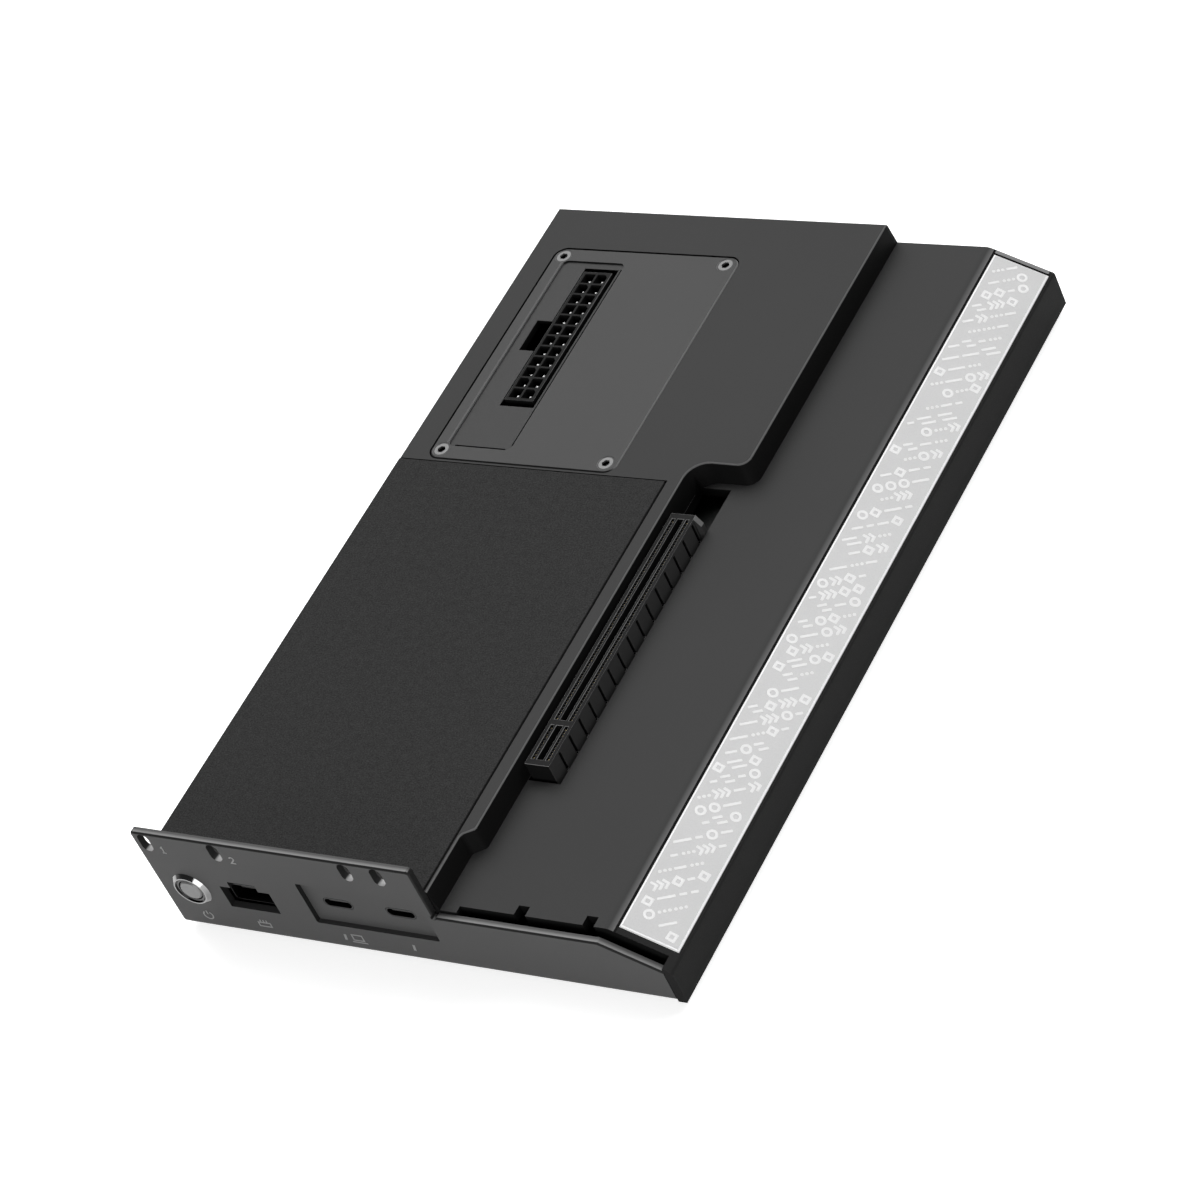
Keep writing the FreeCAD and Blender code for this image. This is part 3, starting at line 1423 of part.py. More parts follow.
def make_screws():
    head = doc.addObject("Part::Cone", "screw_head_cone")
    bind(head, "Radius1", "screw_shank / 2")
    bind(head, "Radius2", "screw_head / 2")
    bind(head, "Height", "(screw_head - screw_shank) / 2")
    bind(head, "Placement.Base.z", "-(screw_head - screw_shank) / 2")
    shank = cylinder("screw_shank_bar", "screw_shank", "screw_length", "-screw_length")
    blank = doc.addObject("Part::Fuse", "screw_blank")
    blank.Base = head
    blank.Tool = shank
    socket = doc.addObject("Part::Prism", "screw_socket_hex")
    socket.Polygon = 6
    bind(socket, "Circumradius", "screw_socket / 2 / cos(30 deg)")
    bind(socket, "Height", "screw_socket_depth")
    bind(socket, "Placement.Base.z", "-screw_socket_depth")
    screw = doc.addObject("Part::Cut", "screw_master")
    screw.Base = blank
    screw.Tool = socket

    upside_down = FreeCAD.Rotation(FreeCAD.Vector(1, 0, 0), 180)
    sunk = "panel_gap / 4"
    repeat("plate_screws", screw, [(x, y, f"deck_height - {sunk}") for x, y in plate_screw_places])
    cover_places = [(x, y, sunk) for x in ("cover_boss_left", cover_boss_right) for y in boss_rows]
    repeat("cover_screws", screw, cover_places, upside_down)
    repeat("panel_screws", screw, [(x, y, sunk) for x, y in flange_bosses], upside_down)

    pan = cylinder("board_screw_pan", "board_screw_head", "board_screw_head_height")
    stem = cylinder("board_screw_stem", "screw_shank", "screw_length", "-screw_length")
    board_screw = doc.addObject("Part::Fuse", "board_screw_master")
    board_screw.Base = pan
    board_screw.Tool = stem
    repeat("board_screws", board_screw, [(x, y, board_under) for x, y in board_bosses], upside_down)


make_top_housing()
make_port_panel()
make_psu_mat()
make_connector_plate()
make_light_strip()
make_main_board()
make_board_parts()
make_graphics_slot()
make_power_header()
make_link_port()
make_usb_ports()
make_power_button()
make_underside()
make_screws()
doc.recompute()

# Nothing is written unless every object recomputed and every sub-part is a sound shape

for item in doc.Objects:
    if "Invalid" in item.State or "Error" in item.State:
        raise RuntimeError(f"{item.Label} failed to recompute")
for item in subparts:
    if item.Shape.isNull() or not item.Shape.isValid():
        raise RuntimeError(f"{item.Label} has no valid shape")

os.makedirs("parts", exist_ok=True)
for item in subparts:
    item.Shape.exportStep(f"parts/{item.Label}.step")
print(f"{len(subparts)} sub-parts written")
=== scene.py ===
import json
import math
import random

import bmesh
import bpy
from mathutils import Matrix, Quaternion, Vector


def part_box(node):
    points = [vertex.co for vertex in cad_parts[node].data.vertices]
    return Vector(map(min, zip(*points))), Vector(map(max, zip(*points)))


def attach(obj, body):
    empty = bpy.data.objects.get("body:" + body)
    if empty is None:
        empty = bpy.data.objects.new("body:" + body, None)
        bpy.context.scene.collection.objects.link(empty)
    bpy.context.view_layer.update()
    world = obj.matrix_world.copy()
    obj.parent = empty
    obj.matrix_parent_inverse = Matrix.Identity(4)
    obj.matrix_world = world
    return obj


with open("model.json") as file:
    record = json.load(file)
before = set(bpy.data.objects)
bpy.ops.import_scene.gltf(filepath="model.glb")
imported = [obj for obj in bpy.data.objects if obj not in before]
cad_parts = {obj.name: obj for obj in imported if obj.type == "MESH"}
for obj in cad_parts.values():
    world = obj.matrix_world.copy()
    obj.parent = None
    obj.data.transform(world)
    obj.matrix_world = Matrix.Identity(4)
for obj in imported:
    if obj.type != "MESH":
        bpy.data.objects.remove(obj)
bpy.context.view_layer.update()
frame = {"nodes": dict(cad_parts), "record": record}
nodes = frame["nodes"]
mm = 0.001  # sizes below are in millimetres unless a note says otherwise
dock = "dock"
squareCorners = ((-1, -1), (1, -1), (1, 1), (-1, 1))
print("frame loaded:", len(nodes), "nodes")


# Node helpers: short names for the few shader nodes that the finishes share

def startMaterial(name):
    material = bpy.data.materials.new(name)
    material.use_nodes = True
    tree = material.node_tree
    return material, tree, tree.nodes["Principled BSDF"]


def addNode(tree, kind, inputs=None, **settings):
    node = tree.nodes.new("ShaderNode" + kind)
    for key, value in settings.items():
        setattr(node, key, value)
    for key, value in (inputs or {}).items():
        node.inputs[key].default_value = value
    return node


def objectSpace(tree):
    # object coordinates in millimetres, so that grain sizes read as real sizes
    place = addNode(tree, "TexCoord")
    scaled = addNode(tree, "VectorMath", {"Scale": 1 / mm}, operation="SCALE")
    tree.links.new(place.outputs["Object"], scaled.inputs[0])
    return scaled.outputs[0]


def vectorStep(tree, coords, operation, other=(0, 0, 0)):
    node = addNode(tree, "VectorMath", {1: other}, operation=operation)
    tree.links.new(coords, node.inputs[0])
    return node.outputs["Value" if operation in ("DOT_PRODUCT", "LENGTH") else "Vector"]


def placeAxes(tree):
    split = addNode(tree, "SeparateXYZ")
    tree.links.new(objectSpace(tree), split.inputs[0])
    return split.outputs["X"], split.outputs["Y"], split.outputs["Z"]


def faceDirection(tree, direction):
    # how far a face looks along a direction: 1 is straight at it
    place = addNode(tree, "TexCoord")
    return vectorStep(tree, place.outputs["Normal"], "DOT_PRODUCT", direction)


def distanceFrom(tree, coords, centre, plane):
    # distance to a centre, along the axes that the plane gives as ones
    offset = vectorStep(tree, coords, "SUBTRACT", centre)
    return vectorStep(tree, vectorStep(tree, offset, "MULTIPLY", plane), "LENGTH")


def noise(tree, coords, size, detail=2.0, roughness=0.55):
    node = addNode(tree, "TexNoise", {"Scale": 1 / size, "Detail": detail, "Roughness": roughness})
    tree.links.new(coords, node.inputs["Vector"])
    return node.outputs["Fac"]


def span(tree, factor, low, high, start, end):
    limits = {"From Min": start, "From Max": end, "To Min": low, "To Max": high}
    node = addNode(tree, "MapRange", limits)
    tree.links.new(factor, node.inputs["Value"])
    return node.outputs["Result"]


def rising(tree, factor, limits):
    return span(tree, factor, 0.0, 1.0, *limits)


def falling(tree, factor, limits):
    return span(tree, factor, 1.0, 0.0, *limits)


def combine(tree, first, second, operation):
    node = addNode(tree, "Math", operation=operation)
    for index, value in enumerate((first, second)):
        if isinstance(value, (int, float)):
            node.inputs[index].default_value = value
        else:
            tree.links.new(value, node.inputs[index])
    return node.outputs[0]


def product(tree, *factors):
    result = factors[0]
    for factor in factors[1:]:
        result = combine(tree, result, factor, "MULTIPLY")
    return result


def above(tree, value, limit):
    return combine(tree, value, limit, "GREATER_THAN")


def below(tree, value, limit):
    return combine(tree, value, limit, "LESS_THAN")


def between(tree, value, low, high):
    return product(tree, above(tree, value, low), below(tree, value, high))


def tones(tree, factor, dark, light):
    node = addNode(tree, "Mix", data_type="RGBA")
    tree.links.new(factor, node.inputs["Factor"])
    for socket, tone in (("A", dark), ("B", light)):
        target = [item for item in node.inputs if item.name == socket and item.type == "RGBA"][0]
        if isinstance(tone, (tuple, list)):
            target.default_value = (*tone, 1.0)
        else:
            tree.links.new(tone, target)
    return [item for item in node.outputs if item.type == "RGBA"][0]


def layered(tree, colour, look, layers):
    # lays tones of a look over a colour, each where its factor is 1
    for factor, tone in layers:
        colour = tones(tree, factor, colour, look[tone])
    return colour


def grey(level):
    return (level, level, level)


def paint(tree, shader, colour):
    tree.links.new(colour, shader.inputs["Base Color"])


def relief(tree, shader, height, depth):
    node = addNode(tree, "Bump", {"Strength": 1.0, "Distance": depth * mm})
    tree.links.new(height, node.inputs["Height"])
    tree.links.new(node.outputs["Normal"], shader.inputs["Normal"])


def setShader(shader, **values):
    for key, value in values.items():
        shader.inputs[key.replace("_", " ")].default_value = value


def stripNormal():
    # the way that the light strip's broad face looks
    faces = nodes["light_strip"].data.polygons
    return max(faces, key=lambda face: face.area * max(face.normal.z, 0)).normal.copy()


# One general finish: two grains of tone, grained gloss and a fine relief

grainMix = {
    "fine": 0.6,
    "broad": 0.4,
    "detail": 3.0,
    "toneLimits": (0.32, 0.68),
    "glossLimits": (0.3, 0.7),
    "specular": 0.3,
}


def grainedFinish(name, look):
    material, tree, shader = startMaterial(name)
    coords = objectSpace(tree)
    if "stretch" in look:
        coords = vectorStep(tree, coords, "MULTIPLY", look["stretch"])
    fine = noise(tree, coords, look["grain"], grainMix["detail"])
    broad = noise(tree, coords, look["patch"])
    fineShare = combine(tree, fine, grainMix["fine"], "MULTIPLY")
    broadShare = combine(tree, broad, grainMix["broad"], "MULTIPLY")
    mixed = combine(tree, fineShare, broadShare, "ADD")
    colour = tones(tree, rising(tree, mixed, grainMix["toneLimits"]), look["dark"], look["light"])
    paint(tree, shader, colour)
    gloss = span(tree, fine, *look["roughness"], *grainMix["glossLimits"])
    tree.links.new(gloss, shader.inputs["Roughness"])
    relief(tree, shader, fine, look["depth"])
    specular = look.get("specular", grainMix["specular"])
    setShader(shader, Metallic=look.get("metal", 0.0), Specular_IOR_Level=specular,
              Emission_Color=(1, 1, 1, 1), Emission_Strength=look.get("paintedGlow", 0.0))
    return material, tree, shader, colour


coverLook = {
    "dark": grey(0.035),
    "light": grey(0.045),
    "grain": 0.6,
    "patch": 50.0,
    "depth": 0.03,
    "roughness": (0.45, 0.6),
    "specular": 0.3,
}
steelLook = {
    "dark": grey(0.44),
    "light": grey(0.58),
    "grain": 0.12,
    "patch": 3.0,
    "depth": 0.002,
    "roughness": (0.24, 0.36),
    "metal": 1.0,
}
pinLook = {
    "dark": grey(0.40),
    "light": grey(0.52),
    "grain": 0.15,
    "patch": 3.0,
    "depth": 0.001,
    "roughness": (0.35, 0.45),
    "metal": 0.7,
}
shellLook = {
    "dark": grey(0.040),
    "light": grey(0.060),
    "grain": 0.2,
    "patch": 6.0,
    "stretch": (1.0, 0.12, 1.0),
    "depth": 0.002,
    "roughness": (0.28, 0.40),
    "metal": 1.0,
}
tongueLook = {
    "dark": grey(0.050),
    "light": grey(0.065),
    "grain": 0.2,
    "patch": 4.0,
    "depth": 0.002,
    "roughness": (0.45, 0.58),
}
capLook = {
    "dark": grey(0.25),
    "light": grey(0.30),
    "grain": 0.12,
    "patch": 3.0,
    "depth": 0.002,
    "roughness": (0.36, 0.48),
    "metal": 0.25,
}
buttonDarkLook = {
    "dark": grey(0.012),
    "light": grey(0.018),
    "grain": 0.2,
    "patch": 4.0,
    "depth": 0.001,
    "roughness": (0.18, 0.28),
    "specular": 0.5,
}
contactLook = {
    "dark": (0.42, 0.32, 0.15),
    "light": (0.60, 0.47, 0.24),
    "grain": 0.15,
    "patch": 3.0,
    "depth": 0.001,
    "roughness": (0.26, 0.38),
    "metal": 1.0,
}
boardLook = {
    "dark": (0.0040, 0.0046, 0.0043),
    "light": (0.0060, 0.0068, 0.0064),
    "grain": 0.3,
    "patch": 5.0,
    "depth": 0.004,
    "roughness": (0.35, 0.5),
    "specular": 0.4,
}
lampBoardLook = {
    "dark": grey(0.66),
    "light": grey(0.74),
    "grain": 0.3,
    "patch": 7.0,
    "depth": 0.004,
    "roughness": (0.4, 0.5),
}
lampLook = {
    "dark": (0.72, 0.66, 0.36),
    "light": (0.82, 0.77, 0.46),
    "grain": 0.15,
    "patch": 1.5,
    "depth": 0.002,
    "roughness": (0.25, 0.35),
}
heatsinkLook = {
    "dark": grey(0.45),
    "light": grey(0.55),
    "grain": 0.2,
    "patch": 8.0,
    "stretch": (1.0, 0.1, 1.0),
    "depth": 0.004,
    "roughness": (0.32, 0.44),
    "metal": 1.0,
}
chipLook = {
    "dark": grey(0.022),
    "light": grey(0.032),
    "grain": 0.2,
    "patch": 4.0,
    "depth": 0.004,
    "roughness": (0.5, 0.62),
}
canLook = {
    "dark": grey(0.52),
    "light": grey(0.62),
    "grain": 0.2,
    "patch": 4.0,
    "stretch": (1.0, 1.0, 0.1),
    "depth": 0.002,
    "roughness": (0.24, 0.34),
    "metal": 1.0,
}
footLook = {
    "dark": grey(0.016),
    "light": grey(0.026),
    "grain": 0.3,
    "patch": 6.0,
    "depth": 0.02,
    "roughness": (0.75, 0.9),
    "specular": 0.25,
}


# Panel: satin paint with painted light: a highlight on the upward cut edges over shade on the rounding,
# shade on the sides and ledges of its openings, and a highlight at the slots' lower ends

panelLook = {
    "dark": grey(0.094),
    "light": grey(0.105),
    "grain": 0.55,
    "patch": 35.0,
    "depth": 0.008,
    "roughness": (0.42, 0.52),
    "specular": 0.12,
    # painted shade on the upright sides inside the openings
    "side": grey(0.028),
    "sideShadeFacing": (0.25, 0.5),
    # painted shade on the front rounding of the cut edges
    "roundingShade": grey(0.026),
    "roundingShadeFrom": (0.10, 0.25),
    # painted highlight on the upward cut edges, fading towards the rear
    "edge": grey(0.32),
    "edgeHighlightRear": grey(0.10),
    "edgeHighlightDepth": (0.6, 1.5),
    "edgeFacing": (0.95, 0.995),
    "edgeHighlightAbove": 12.6,
    # painted shade on the ledges under the ports
    "ledgeShade": grey(0.080),
    "portLedgeShade": grey(0.075),
    "portLedgeShadeReach": 1.0,
    # painted highlight at the lower ends of the tab's slots
    "slotEdgeHighlight": grey(0.55),
    "slotHighlightFacing": (0.78, 0.95),
    "slotBelowTop": 3.0,
}


def panelFinish():
    material, tree, shader, colour = grainedFinish("panel_paint", panelLook)
    x, y, z = placeAxes(tree)
    upward = faceDirection(tree, (0, 0, 1))
    sideways = combine(tree, faceDirection(tree, (1, 0, 0)), 0.0, "ABSOLUTE")
    # painted shade on the sides in the openings and on the front rounding of the cut edges
    colour = layered(tree, colour, panelLook, (
        (rising(tree, sideways, panelLook["sideShadeFacing"]), "side"),
        (rising(tree, upward, panelLook["roundingShadeFrom"]), "roundingShade"),
    ))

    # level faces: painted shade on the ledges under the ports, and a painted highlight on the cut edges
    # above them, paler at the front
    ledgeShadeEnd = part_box("link_port_shell")[1].x / mm + panelLook["portLedgeShadeReach"]
    level = tones(tree, above(tree, x, ledgeShadeEnd), panelLook["portLedgeShade"], panelLook["ledgeShade"])
    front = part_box("port_panel")[0].y / mm
    depth = [front + reach for reach in panelLook["edgeHighlightDepth"]]
    cutEdgeHighlight = tones(tree, rising(tree, y, depth), panelLook["edge"], panelLook["edgeHighlightRear"])
    level = tones(tree, above(tree, z, panelLook["edgeHighlightAbove"]), level, cutEdgeHighlight)
    flat = combine(tree, upward, faceDirection(tree, stripNormal()), "MAXIMUM")
    colour = tones(tree, rising(tree, flat, panelLook["edgeFacing"]), colour, level)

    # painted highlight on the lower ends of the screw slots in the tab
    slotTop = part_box("port_panel")[1].z / mm - panelLook["slotBelowTop"]
    slotHighlight = between(tree, z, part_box("top_housing")[1].z / mm, slotTop)
    slotHighlight = product(tree, slotHighlight, rising(tree, upward, panelLook["slotHighlightFacing"]))
    paint(tree, shader, tones(tree, slotHighlight, colour, panelLook["slotEdgeHighlight"]))
    return material


# Plate: satin paint, with painted shade in its pocket, in its seam and on front-facing edges, and a
# painted highlight on right-facing edges and on the pocket rim

plateLook = {
    "dark": grey(0.0444),
    "light": grey(0.0516),
    "grain": 0.5,
    "patch": 40.0,
    "depth": 0.006,
    "roughness": (0.40, 0.50),
    "specular": 0.2,
    # painted shade in the pocket
    "pocketShade": grey(0.0325),
    "pocketShadeBelow": 0.25,
    "pocketDepth": 0.5,
    # painted highlight along the pocket's left wall
    "pocketRimHighlight": grey(0.085),
    "pocketRimHighlightWidth": 0.7,
    "sameLevel": 0.02,
    # painted shade down in the seam
    "seamShade": grey(0.006),
    "seamShadeBelow": 0.7,
    # painted highlight on right-facing faces, painted shade on front-facing faces
    "rightEdgeHighlight": grey(0.26),
    "frontEdgeShade": grey(0.02),
    "edgeFacing": (0.3, 0.6),
}


def plateFinish():
    material, tree, shader, colour = grainedFinish("plate_paint", plateLook)
    x, y, z = placeAxes(tree)
    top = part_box("connector_plate")[1].z / mm
    bottom = top - plateLook["pocketDepth"]
    corners = [vertex.co / mm for vertex in nodes["connector_plate"].data.vertices]
    sunk = [corner for corner in corners if abs(bottom - corner.z) < plateLook["sameLevel"]]
    left = min(corner.x for corner in sunk)
    ends = (min(corner.y for corner in sunk), max(corner.y for corner in sunk))
    rim = between(tree, x, left - plateLook["pocketRimHighlightWidth"], left + plateLook["sameLevel"])
    rightward = faceDirection(tree, (1, 0, 0))
    forward = faceDirection(tree, (0, -1, 0))
    # painted shade and painted highlights over the plate's paint
    paint(tree, shader, layered(tree, colour, plateLook, (
        (below(tree, z, top - plateLook["pocketShadeBelow"]), "pocketShade"),
        (product(tree, rim, between(tree, y, *ends)), "pocketRimHighlight"),
        (rising(tree, rightward, plateLook["edgeFacing"]), "rightEdgeHighlight"),
        (rising(tree, forward, plateLook["edgeFacing"]), "frontEdgeShade"),
        (below(tree, z, top - plateLook["seamShadeBelow"]), "seamShade"),
    )))
    return material


# Bezel: polished ring, with a painted dark reflection in black on the bevel next to the cap

bezelLook = {
    "dark": grey(0.23),
    "light": grey(0.28),
    "grain": 0.4,
    "patch": 5.0,
    "depth": 0.0005,
    "roughness": (0.08, 0.15),
    "metal": 1.0,
    # painted dark reflection on the inner bevel
    "inner": grey(0.012),
    "darkReflectionWidth": 0.72,
}


def bezelFinish():
    material, tree, shader, chrome = grainedFinish("bezel_chrome", bezelLook)
    low, high = [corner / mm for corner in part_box("button_cap")]
    centre = ((low.x + high.x) / 2, 0, (low.z + high.z) / 2)
    radius = distanceFrom(tree, objectSpace(tree), centre, (1, 0, 1))
    inner = (high.x - low.x) / 2 + bezelLook["darkReflectionWidth"]
    paint(tree, shader, tones(tree, below(tree, radius, inner), chrome, bezelLook["inner"]))
    return material


# Connectors: black mouldings, with a painted highlight on their bevelled edges

connectorLook = {
    "dark": grey(0.007),
    "light": grey(0.012),
    "grain": 0.25,
    "patch": 9.0,
    "depth": 0.004,
    "roughness": (0.5, 0.62),
    "specular": 0.09,
    # painted highlights on the bevelled edges of the black mouldings
    "edge": grey(0.060),
    "slotEdgeHighlight": grey(0.26),
    "headerEdgeHighlight": grey(0.15),
    "headerRib": grey(0.012),
    "headerRim": 0.85,
    "headerLatch": 1.0,
    # painted light on the outer side of the card slot
    "slotSideLit": grey(0.060),
    "slotSideDepth": 0.12,
    "slotSideFacing": (0.1, 0.2),
    "slotEar": 1.5,
    "highlightFrom": (0.15, 0.35),
    "highlightTo": (0.90, 0.99),
}


def connectorFinish(name, edge):
    material, tree, shader, black = grainedFinish(name, connectorLook)
    upward = faceDirection(tree, (0, 0, 1))
    leaning = rising(tree, upward, connectorLook["highlightFrom"])
    bevelHighlight = product(tree, leaning, falling(tree, upward, connectorLook["highlightTo"]))
    colour = tones(tree, bevelHighlight, black, connectorLook[edge])
    paint(tree, shader, colour)
    return material, tree, shader, colour


def cardSlotFinish():
    material, tree, shader, colour = connectorFinish("finish_card_slot", "slotEdgeHighlight")
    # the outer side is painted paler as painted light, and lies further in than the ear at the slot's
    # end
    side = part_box("graphics_slot")[1].x / mm - connectorLook["slotEar"]
    litOuterSide = above(tree, placeAxes(tree)[0], side - connectorLook["slotSideDepth"])
    upright = falling(tree, faceDirection(tree, (0, 0, 1)), connectorLook["slotSideFacing"])
    paint(tree, shader, tones(tree, product(tree, litOuterSide, upright), colour, connectorLook["slotSideLit"]))
    return material


def headerFinish():
    material, tree, shader, colour = connectorFinish("finish_power_header", "headerEdgeHighlight")
    # the painted highlight stays on the outline only: the ribs between the cells stay black
    x, y = placeAxes(tree)[:2]
    low, high = [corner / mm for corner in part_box("power_header")]
    rim = connectorLook["headerRim"]
    ribs = between(tree, x, low.x + connectorLook["headerLatch"] + rim, high.x - rim)
    ribs = product(tree, ribs, between(tree, y, low.y + rim, high.y - rim))
    paint(tree, shader, tones(tree, ribs, colour, connectorLook["headerRib"]))
    return material


# Housing: fine moulded grain, with painted shade on its walls and black painted shade inside its
# outline, and a painted highlight on the slope that pales to the strip

housingLook = {
    "dark": grey(0.0605),
    "light": grey(0.0685),
    "grain": 0.35,
    "patch": 60.0,
    "depth": 0.010,
    "roughness": (0.52, 0.66),
    "specular": 0.06,
    # painted shade in black on inner upright faces and on the front end of the right-hand wall
    "black": grey(0.010),
    # painted shade on upright walls
    "wall": grey(0.023),
    "outerWall": 1.0,
    "upright": (0.35, 0.55),
    # painted shade on the rounding along the right-hand wall
    "rim": grey(0.030),
    "rimShadeWidth": 1.25,
    "rimShadeFacing": (0.05, 0.3),
    "wallEnd": 2.6,
    # painted highlight on the slope band beside the strip
    "slope": grey(0.20),
    "slopeFacing": (0.95, 0.995),
    "slopeHighlightWidth": 2.3,
    # painted shade past the strip's front end, painted highlight past its rear end
    "slopeFrontShade": grey(0.030),
    "slopeRearHighlight": grey(0.32),
    # painted shadow line along the strip's edge
    "gap": grey(0.010),
    "shadowGapWidth": 0.62,
    # painted highlight on the rounded edges round the raised deck
    "edge": grey(0.19),
    "edgeHighlightHeight": 0.7,
    "highlightFrom": (0.3, 0.5),
    "highlightTo": (0.90, 0.97),
}


def housingFinish():
    material, tree, shader, plastic = grainedFinish("finish_housing", housingLook)
    low, high = [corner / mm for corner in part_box("top_housing")]
    x, y, z = placeAxes(tree)
    upward = faceDirection(tree, (0, 0, 1))

    # slope: a painted highlight band and a painted shadow line beside the strip, and painted shade and
    # a painted highlight on the margins past its two ends
    slope = rising(tree, faceDirection(tree, stripNormal()), housingLook["slopeFacing"])
    across = Vector((0, 1, 0)).cross(stripNormal())
    strip = min(vertex.co.dot(across) for vertex in nodes["light_strip"].data.vertices) / mm
    stripFront, stripRear = [corner.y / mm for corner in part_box("light_strip")]
    reach = vectorStep(tree, objectSpace(tree), "DOT_PRODUCT", across)
    shadowGapStart = strip - housingLook["shadowGapWidth"]
    gap = product(tree, slope, between(tree, reach, shadowGapStart, strip))
    past = product(tree, slope, above(tree, reach, strip))
    slopeHighlight = product(tree, slope, rising(tree, reach, (strip - housingLook["slopeHighlightWidth"], shadowGapStart)))

    # upright faces get painted shade, black for those inside the outline and for the front end of the
    # right-hand wall
    upright = falling(tree, upward, housingLook["upright"])
    inset = housingLook["outerWall"]
    inner = between(tree, x, low.x + inset, high.x - inset)
    inner = product(tree, inner, below(tree, y, high.y - inset), upright)
    wallEnd = above(tree, x, high.x - housingLook["wallEnd"])
    wallEnd = product(tree, wallEnd, faceDirection(tree, (0, -1, 0)))

    # rounded edges: painted shade along the right-hand wall, and a painted highlight round the raised
    # deck
    rim = above(tree, x, high.x - housingLook["rimShadeWidth"])
    edge = above(tree, z, high.z - housingLook["edgeHighlightHeight"])
    edge = product(tree, edge, rising(tree, upward, housingLook["highlightFrom"]))
    # painted shade and painted highlights over the moulded grain
    paint(tree, shader, layered(tree, plastic, housingLook, (
        (upright, "wall"),
        (slopeHighlight, "slope"),
        (product(tree, past, below(tree, y, stripFront)), "slopeFrontShade"),
        (product(tree, past, above(tree, y, stripRear)), "slopeRearHighlight"),
        (gap, "gap"),
        (product(tree, rim, rising(tree, upward, housingLook["rimShadeFacing"])), "rim"),
        (combine(tree, inner, wallEnd, "MAXIMUM"), "black"),
        (product(tree, edge, falling(tree, upward, housingLook["highlightTo"])), "edge"),
    )))
    return material


# Screws of the plate: grey heads, with painted shade in their sockets and on their rims where they are
# sunk

headLook = {
    "dark": grey(0.14),
    "light": grey(0.20),
    "grain": 0.12,
    "patch": 3.0,
    "depth": 0.002,
    "roughness": (0.32, 0.44),
    "metal": 0.35,
    # painted shade in the sockets
    "socket": grey(0.01),
    "socketShadeBelow": 0.6,
    # painted shade on the rims where the heads are sunk
    "sunkRimShade": grey(0.035),
    "rimShadeFrom": 0.84,
}


def headFinish():
    material, tree, shader, steel = grainedFinish("finish_screw_head", headLook)
    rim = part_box("plate_screws")[1].z / mm - headLook["socketShadeBelow"]
    shadedSocket = below(tree, placeAxes(tree)[2], rim)

    # the four heads stand in a rectangle, so one quarter of it measures them all
    low, high = [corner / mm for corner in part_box("plate_screws")]
    middle, half = (low + high) / 2, (high - low) / 2
    corners = [vertex.co / mm for vertex in nodes["plate_screws"].data.vertices]
    radius = (max(corner.x for corner in corners if corner.x < middle.x) - low.x) / 2
    folded = vectorStep(tree, vectorStep(tree, objectSpace(tree), "SUBTRACT", middle), "ABSOLUTE")
    reach = distanceFrom(tree, folded, (half.x - radius, half.y - radius, 0), (1, 1, 0))
    sunk = above(tree, reach, radius * headLook["rimShadeFrom"])
    paint(tree, shader, layered(tree, steel, headLook, ((shadedSocket, "socket"), (sunk, "sunkRimShade"))))
    return material


# Mat: pebbled rubber with a dusty speckle

matLook = {
    "dark": grey(0.026),
    "light": grey(0.054),
    "pebble": 0.55,
    "randomness": 0.9,
    "grain": 0.42,
    "grainDetail": 4.0,
    "grainInHeight": 0.5,
    "patch": 2.2,
    "patchDetail": 3.0,
    "patchInTone": 0.25,
    "toneLimits": (0.44, 0.82),
    "depth": 0.05,
    "roughness": (0.78, 0.95),
    "glossLimits": (0.2, 0.7),
    "specular": 0.12,
}


def matFinish():
    material, tree, shader = startMaterial("mat_rubber")
    coords = objectSpace(tree)
    grain = noise(tree, coords, matLook["grain"], matLook["grainDetail"])
    patch = noise(tree, coords, matLook["patch"], matLook["patchDetail"])
    spread = {"Scale": 1 / matLook["pebble"], "Randomness": matLook["randomness"]}
    pebbles = addNode(tree, "TexVoronoi", spread, feature="SMOOTH_F1")
    tree.links.new(coords, pebbles.inputs["Vector"])
    skin = pebbles.outputs["Distance"]
    grainShare = combine(tree, grain, matLook["grainInHeight"], "MULTIPLY")
    patchShare = combine(tree, patch, matLook["patchInTone"], "MULTIPLY")
    factor = rising(tree, combine(tree, grain, patchShare, "ADD"), matLook["toneLimits"])
    paint(tree, shader, tones(tree, factor, matLook["dark"], matLook["light"]))
    gloss = span(tree, skin, *matLook["roughness"], *matLook["glossLimits"])
    tree.links.new(gloss, shader.inputs["Roughness"])
    relief(tree, shader, combine(tree, skin, grainShare, "SUBTRACT"), matLook["depth"])
    setShader(shader, Specular_IOR_Level=matLook["specular"])
    return material


# Diffuser: frosted, with a painted highlight on the bevels: a pale tone and a glow

diffuserLook = {
    "dark": grey(0.85),
    "light": grey(0.91),
    # painted highlight on the bevels, with a glow
    "edge": grey(0.97),
    "bevelHighlightGlow": 0.50,
    "grain": 0.4,
    "patch": 25.0,
    "depth": 0.004,
    "roughness": (0.34, 0.46),
    "specular": 0.4,
    "flatFrom": (0.93, 0.985),
    "bevelFrom": (0.3, 0.5),
    "coat": 0.2,
    "coatRoughness": 0.2,
}


def diffuserFinish():
    material, tree, shader, frost = grainedFinish("strip_diffuser", diffuserLook)
    facing = faceDirection(tree, stripNormal())
    flat = rising(tree, facing, diffuserLook["flatFrom"])
    bevel = combine(tree, rising(tree, facing, diffuserLook["bevelFrom"]), flat, "SUBTRACT")
    paint(tree, shader, tones(tree, flat, diffuserLook["edge"], frost))
    paintedGlow = combine(tree, bevel, diffuserLook["bevelHighlightGlow"], "MULTIPLY")
    tree.links.new(paintedGlow, shader.inputs["Emission Strength"])
    setShader(shader, Coat_Weight=diffuserLook["coat"], Coat_Roughness=diffuserLook["coatRoughness"])
    return material


# Print on the strip and marks on the panel

